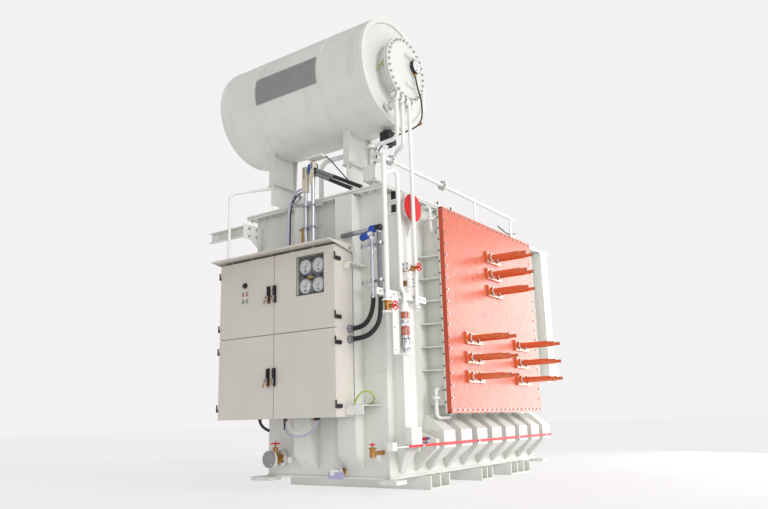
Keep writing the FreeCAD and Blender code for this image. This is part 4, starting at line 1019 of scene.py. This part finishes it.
def breather_details():
    """Drying breather: two glass cylinders of orange beads between rings, and an oil cup."""
    x, y = 275.0, -40.0
    cap = Mesh().lathe((x, y, 1672), UP, [(0, 50), (34, 50), (38, 44), (60, 40), (92, 38), (95.5, 30)], 40)
    cap.disc((x, y, 1586), UP, 45, 14, 40)
    cap.done("breather_cap", "white", bevel=1)
    beads = Mesh().disc((x, y, 1600), UP, 44, 74, 48)
    beads.disc((x, y, 1430), UP, 44, 90, 48)
    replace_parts(beads.done("breather_beads", "silica"), "breather")
    metal = Mesh()
    for z in (1553, 1396):
        metal.disc((x, y, z), UP, 50, 30, 40)
    metal.lathe((x, y, 1284), UP, [(0, 46), (6, 51), (96, 51), (108, 44)], 48)
    metal.disc((x, y, 1249), UP, 30, 36, 32)
    for k in range(4):
        a = math.pi / 4 + math.pi / 2 * k
        px, py = x + 47.5 * math.cos(a), y + 47.5 * math.sin(a)
        metal.rod((px, py, 1400), (px, py, 1680), 3.2, 10)
        metal.bolt((px, py, 1396), DOWN, 9, 7)
    metal.done("breather_metal", "steel", bevel=1)
    Mesh().disc((x, y, 1524), UP, 45, 28, 40).done("breather_glass", "dial")
    base = Mesh().box(x - 52, x + 52, y - 52, y + 52, 1235, 1249)
    base.bolt((x - 38, y - 38, 1249), UP, 12, 8).bolt((x + 38, y - 38, 1249), UP, 12, 8)
    base.done("breather_base", "white", bevel=2)
    for k, s in enumerate((-1, 1)):
        hook = [(49, 12, 1412), (58, 16, 1400), (60, 16, 1350), (53, 12, 1330)]
        hose("breather_hook_%d" % k, [(x + dx * s, y - dy, z) for dx, dy, z in hook], 2.2, "steel")


def rack_details():
    """Bolts of the rack and of the clamps on its pipes."""
    m = Mesh()
    m.bolts([(249, y, 1849) for y in (-440, -300, -190, -10, 300, 400)], RIGHT, 18, 12)
    for y in (-353.0, -97.0, 198.0):
        m.ring((262, y, 1849), UP, 24, 4, 24, 8)
        for s in (-30, 30):
            m.bolt((249, y + s, 1868), RIGHT, 13, 12)
    m.bolts([(249, -200, z) for z in (1270, 1500, 1760)], RIGHT, 15, 10)
    m.done("rack_bolts", "steel")


def rail_details():
    """Studs of the red rail, and the earthing box with its coloured terminals."""
    m = Mesh().bolts([(RAIL[1], y, 313) for y in (180.0, 1400.0, 2500.0, 3400.0)], RIGHT, 22, 14)
    m.bolts([(RAIL[1], y, z) for y in (-15, 145) for z in (346, 480)], RIGHT, 12, 8)
    m.done("rail_studs", "steel")
    Mesh().box(RAIL[1], RAIL[1] + 5, -30, 160, 332, 495).done("earthing_lid", "white", bevel=3)
    for k, (y, mat) in enumerate(((196.0, "red"), (232.0, "black"), (268.0, "blue"))):
        p = Mesh().lathe((RAIL[1] - 8, y, 380), RIGHT, [(0, 13), (18, 13), (20, 9), (40, 9)], 20)
        p.rod((RAIL[1] - 4, y, 330), (RAIL[1] - 4, y, 380), 8, 14)
        p.done("test_terminal_%d" % k, mat)
    Mesh().box(228, RAIL[1] + 3, 176, 290, 350, 356).done("terminal_shelf", "paint", bevel=1)
    line = Mesh().box(230, 290, -281, -58, 306, 318).box(222, 292, -356, -283, 282, 362)
    line.done("rail_tongue", "white", bevel=2)


def arm_details():
    """Bolts and tab of the upper left arm, and the ochre bracket beside the conduits."""
    arm = Mesh().bolts([(-1850, -235, 2920), (-1850, -110, 2925), (-1850, -235, 2825), (-1850, -110, 2830)],
                       RIGHT, 24, 15)
    arm.done("arm_bolts", "steel")
    Mesh().box(-2440, -2330, -284, -279, 2838, 2912).done("arm_tab", "white", bevel=2)
    ochre = Mesh().box(-1090, -1030, -168, -150, 2770, 2790).box(-1060, -1020, -160, -150, 2500, 2770)
    ochre.done("ochre_bracket", "ochre", bevel=1.5)


for build in (rim_bolts, weld_seams, post_windows, name_tags, panel_bolts, terminal_details, frame_studs,
              window_instruments, cubicle_controls, handle_details, hinge_covers, hood_details,
              side_brackets, conduit_details, junction_boxes, flexible_hoses, conservator_details,
              bare_plate, saddle_details, pipe_flange_bolts, valve_details, breather_details, rack_details,
              rail_details, arm_details):
    build()


# ------------------------------------------------------------------ camera and light
def camera():
    """The view: yaw, pitch and roll of a 33 mm lens."""
    cam = bpy.data.cameras.new("camera")
    cam.lens = 32.89
    cam.sensor_width = 36.0
    ob = put("camera", cam)
    yaw, pitch, roll = (math.radians(a) for a in (34.86, 13.10, -1.60))
    turn = (Matrix.Rotation(yaw, 4, "Z") @ Matrix.Rotation(math.pi / 2 + pitch, 4, "X")
            @ Matrix.Rotation(roll, 4, "Z"))
    ob.matrix_world = Matrix.Translation(P(4281.6, -6143.4, 599.7)) @ turn
    bpy.context.scene.camera = ob


def area(name, place, aim, size, power, colour):
    """Soft rectangular light that the camera doesn't see."""
    lamp = bpy.data.lights.new(name, "AREA")
    lamp.size = size / 1000
    lamp.energy = power
    lamp.color = colour
    ob = put(name, lamp)
    ob.location = P(*place)
    ob.rotation_euler = (P(*aim) - P(*place)).to_track_quat("-Z", "Y").to_euler()
    ob.visible_camera = False


def light():
    """Pale surround, brighter to the eye than as a light; a soft sun from the right and two panels."""
    world = bpy.data.worlds.new("world")
    world.use_nodes = True
    tree = world.node_tree
    seen = tree.nodes["Background"]
    seen.inputs["Color"].default_value = (0.90, 0.885, 0.89, 1)
    ambient = tree.nodes.new("ShaderNodeBackground")
    ambient.inputs["Color"].default_value = (0.90, 0.89, 0.90, 1)
    place = tree.nodes.new("ShaderNodeTexCoord")
    parts = tree.nodes.new("ShaderNodeSeparateXYZ")
    fade = tree.nodes.new("ShaderNodeMapRange")
    fade.inputs["From Min"].default_value = -1.0
    fade.inputs["To Min"].default_value = 0.30
    fade.inputs["To Max"].default_value = 1.12
    tree.links.new(place.outputs["Generated"], parts.inputs[0])
    tree.links.new(parts.outputs["X"], fade.inputs["Value"])
    tree.links.new(fade.outputs[0], ambient.inputs["Strength"])
    rays, mix = tree.nodes.new("ShaderNodeLightPath"), tree.nodes.new("ShaderNodeMixShader")
    tree.links.new(rays.outputs["Is Camera Ray"], mix.inputs[0])
    tree.links.new(ambient.outputs[0], mix.inputs[1])
    tree.links.new(seen.outputs[0], mix.inputs[2])
    tree.links.new(mix.outputs[0], tree.nodes["World Output"].inputs["Surface"])
    bpy.context.scene.world = world
    sun = bpy.data.lights.new("sun", "SUN")
    sun.energy = 1.2
    sun.angle = math.radians(24)
    sun.color = (1.0, 0.985, 0.965)
    put("sun", sun).rotation_euler = Vector((-0.90, 0.10, -0.40)).to_track_quat("-Z", "Y").to_euler()
    area("front_fill", (2200, -2900, 1700), (-1100, -470, 1500), 1600, 18, (1.0, 0.97, 0.95))
    area("panel_sheen", (2911, 7340, 2000), (331, 2000, 1600), 4000, 190, (1.0, 0.98, 0.98))
    bpy.context.scene.view_settings.view_transform = "Standard"


def floor():
    size = 60.0
    me = bpy.data.meshes.new("floor")
    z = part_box("skids")[0].z - 0.0005
    me.from_pydata([(-size, -size, z), (size, -size, z), (size, size, z), (-size, size, z)], [],
                   [(0, 1, 2, 3)])
    ob = put("floor", me)
    m = Material("pale_floor", Roughness=0.85, Emission_Color=(1, 0.985, 0.99, 1), Emission_Strength=0.67)
    m.colour(m.ramp(m.noise(0.4, 3), [(0.3, (120.7,) * 3), (0.7, (126.4,) * 3)]))
    me.materials.append(m.m)


camera()
light()
floor()
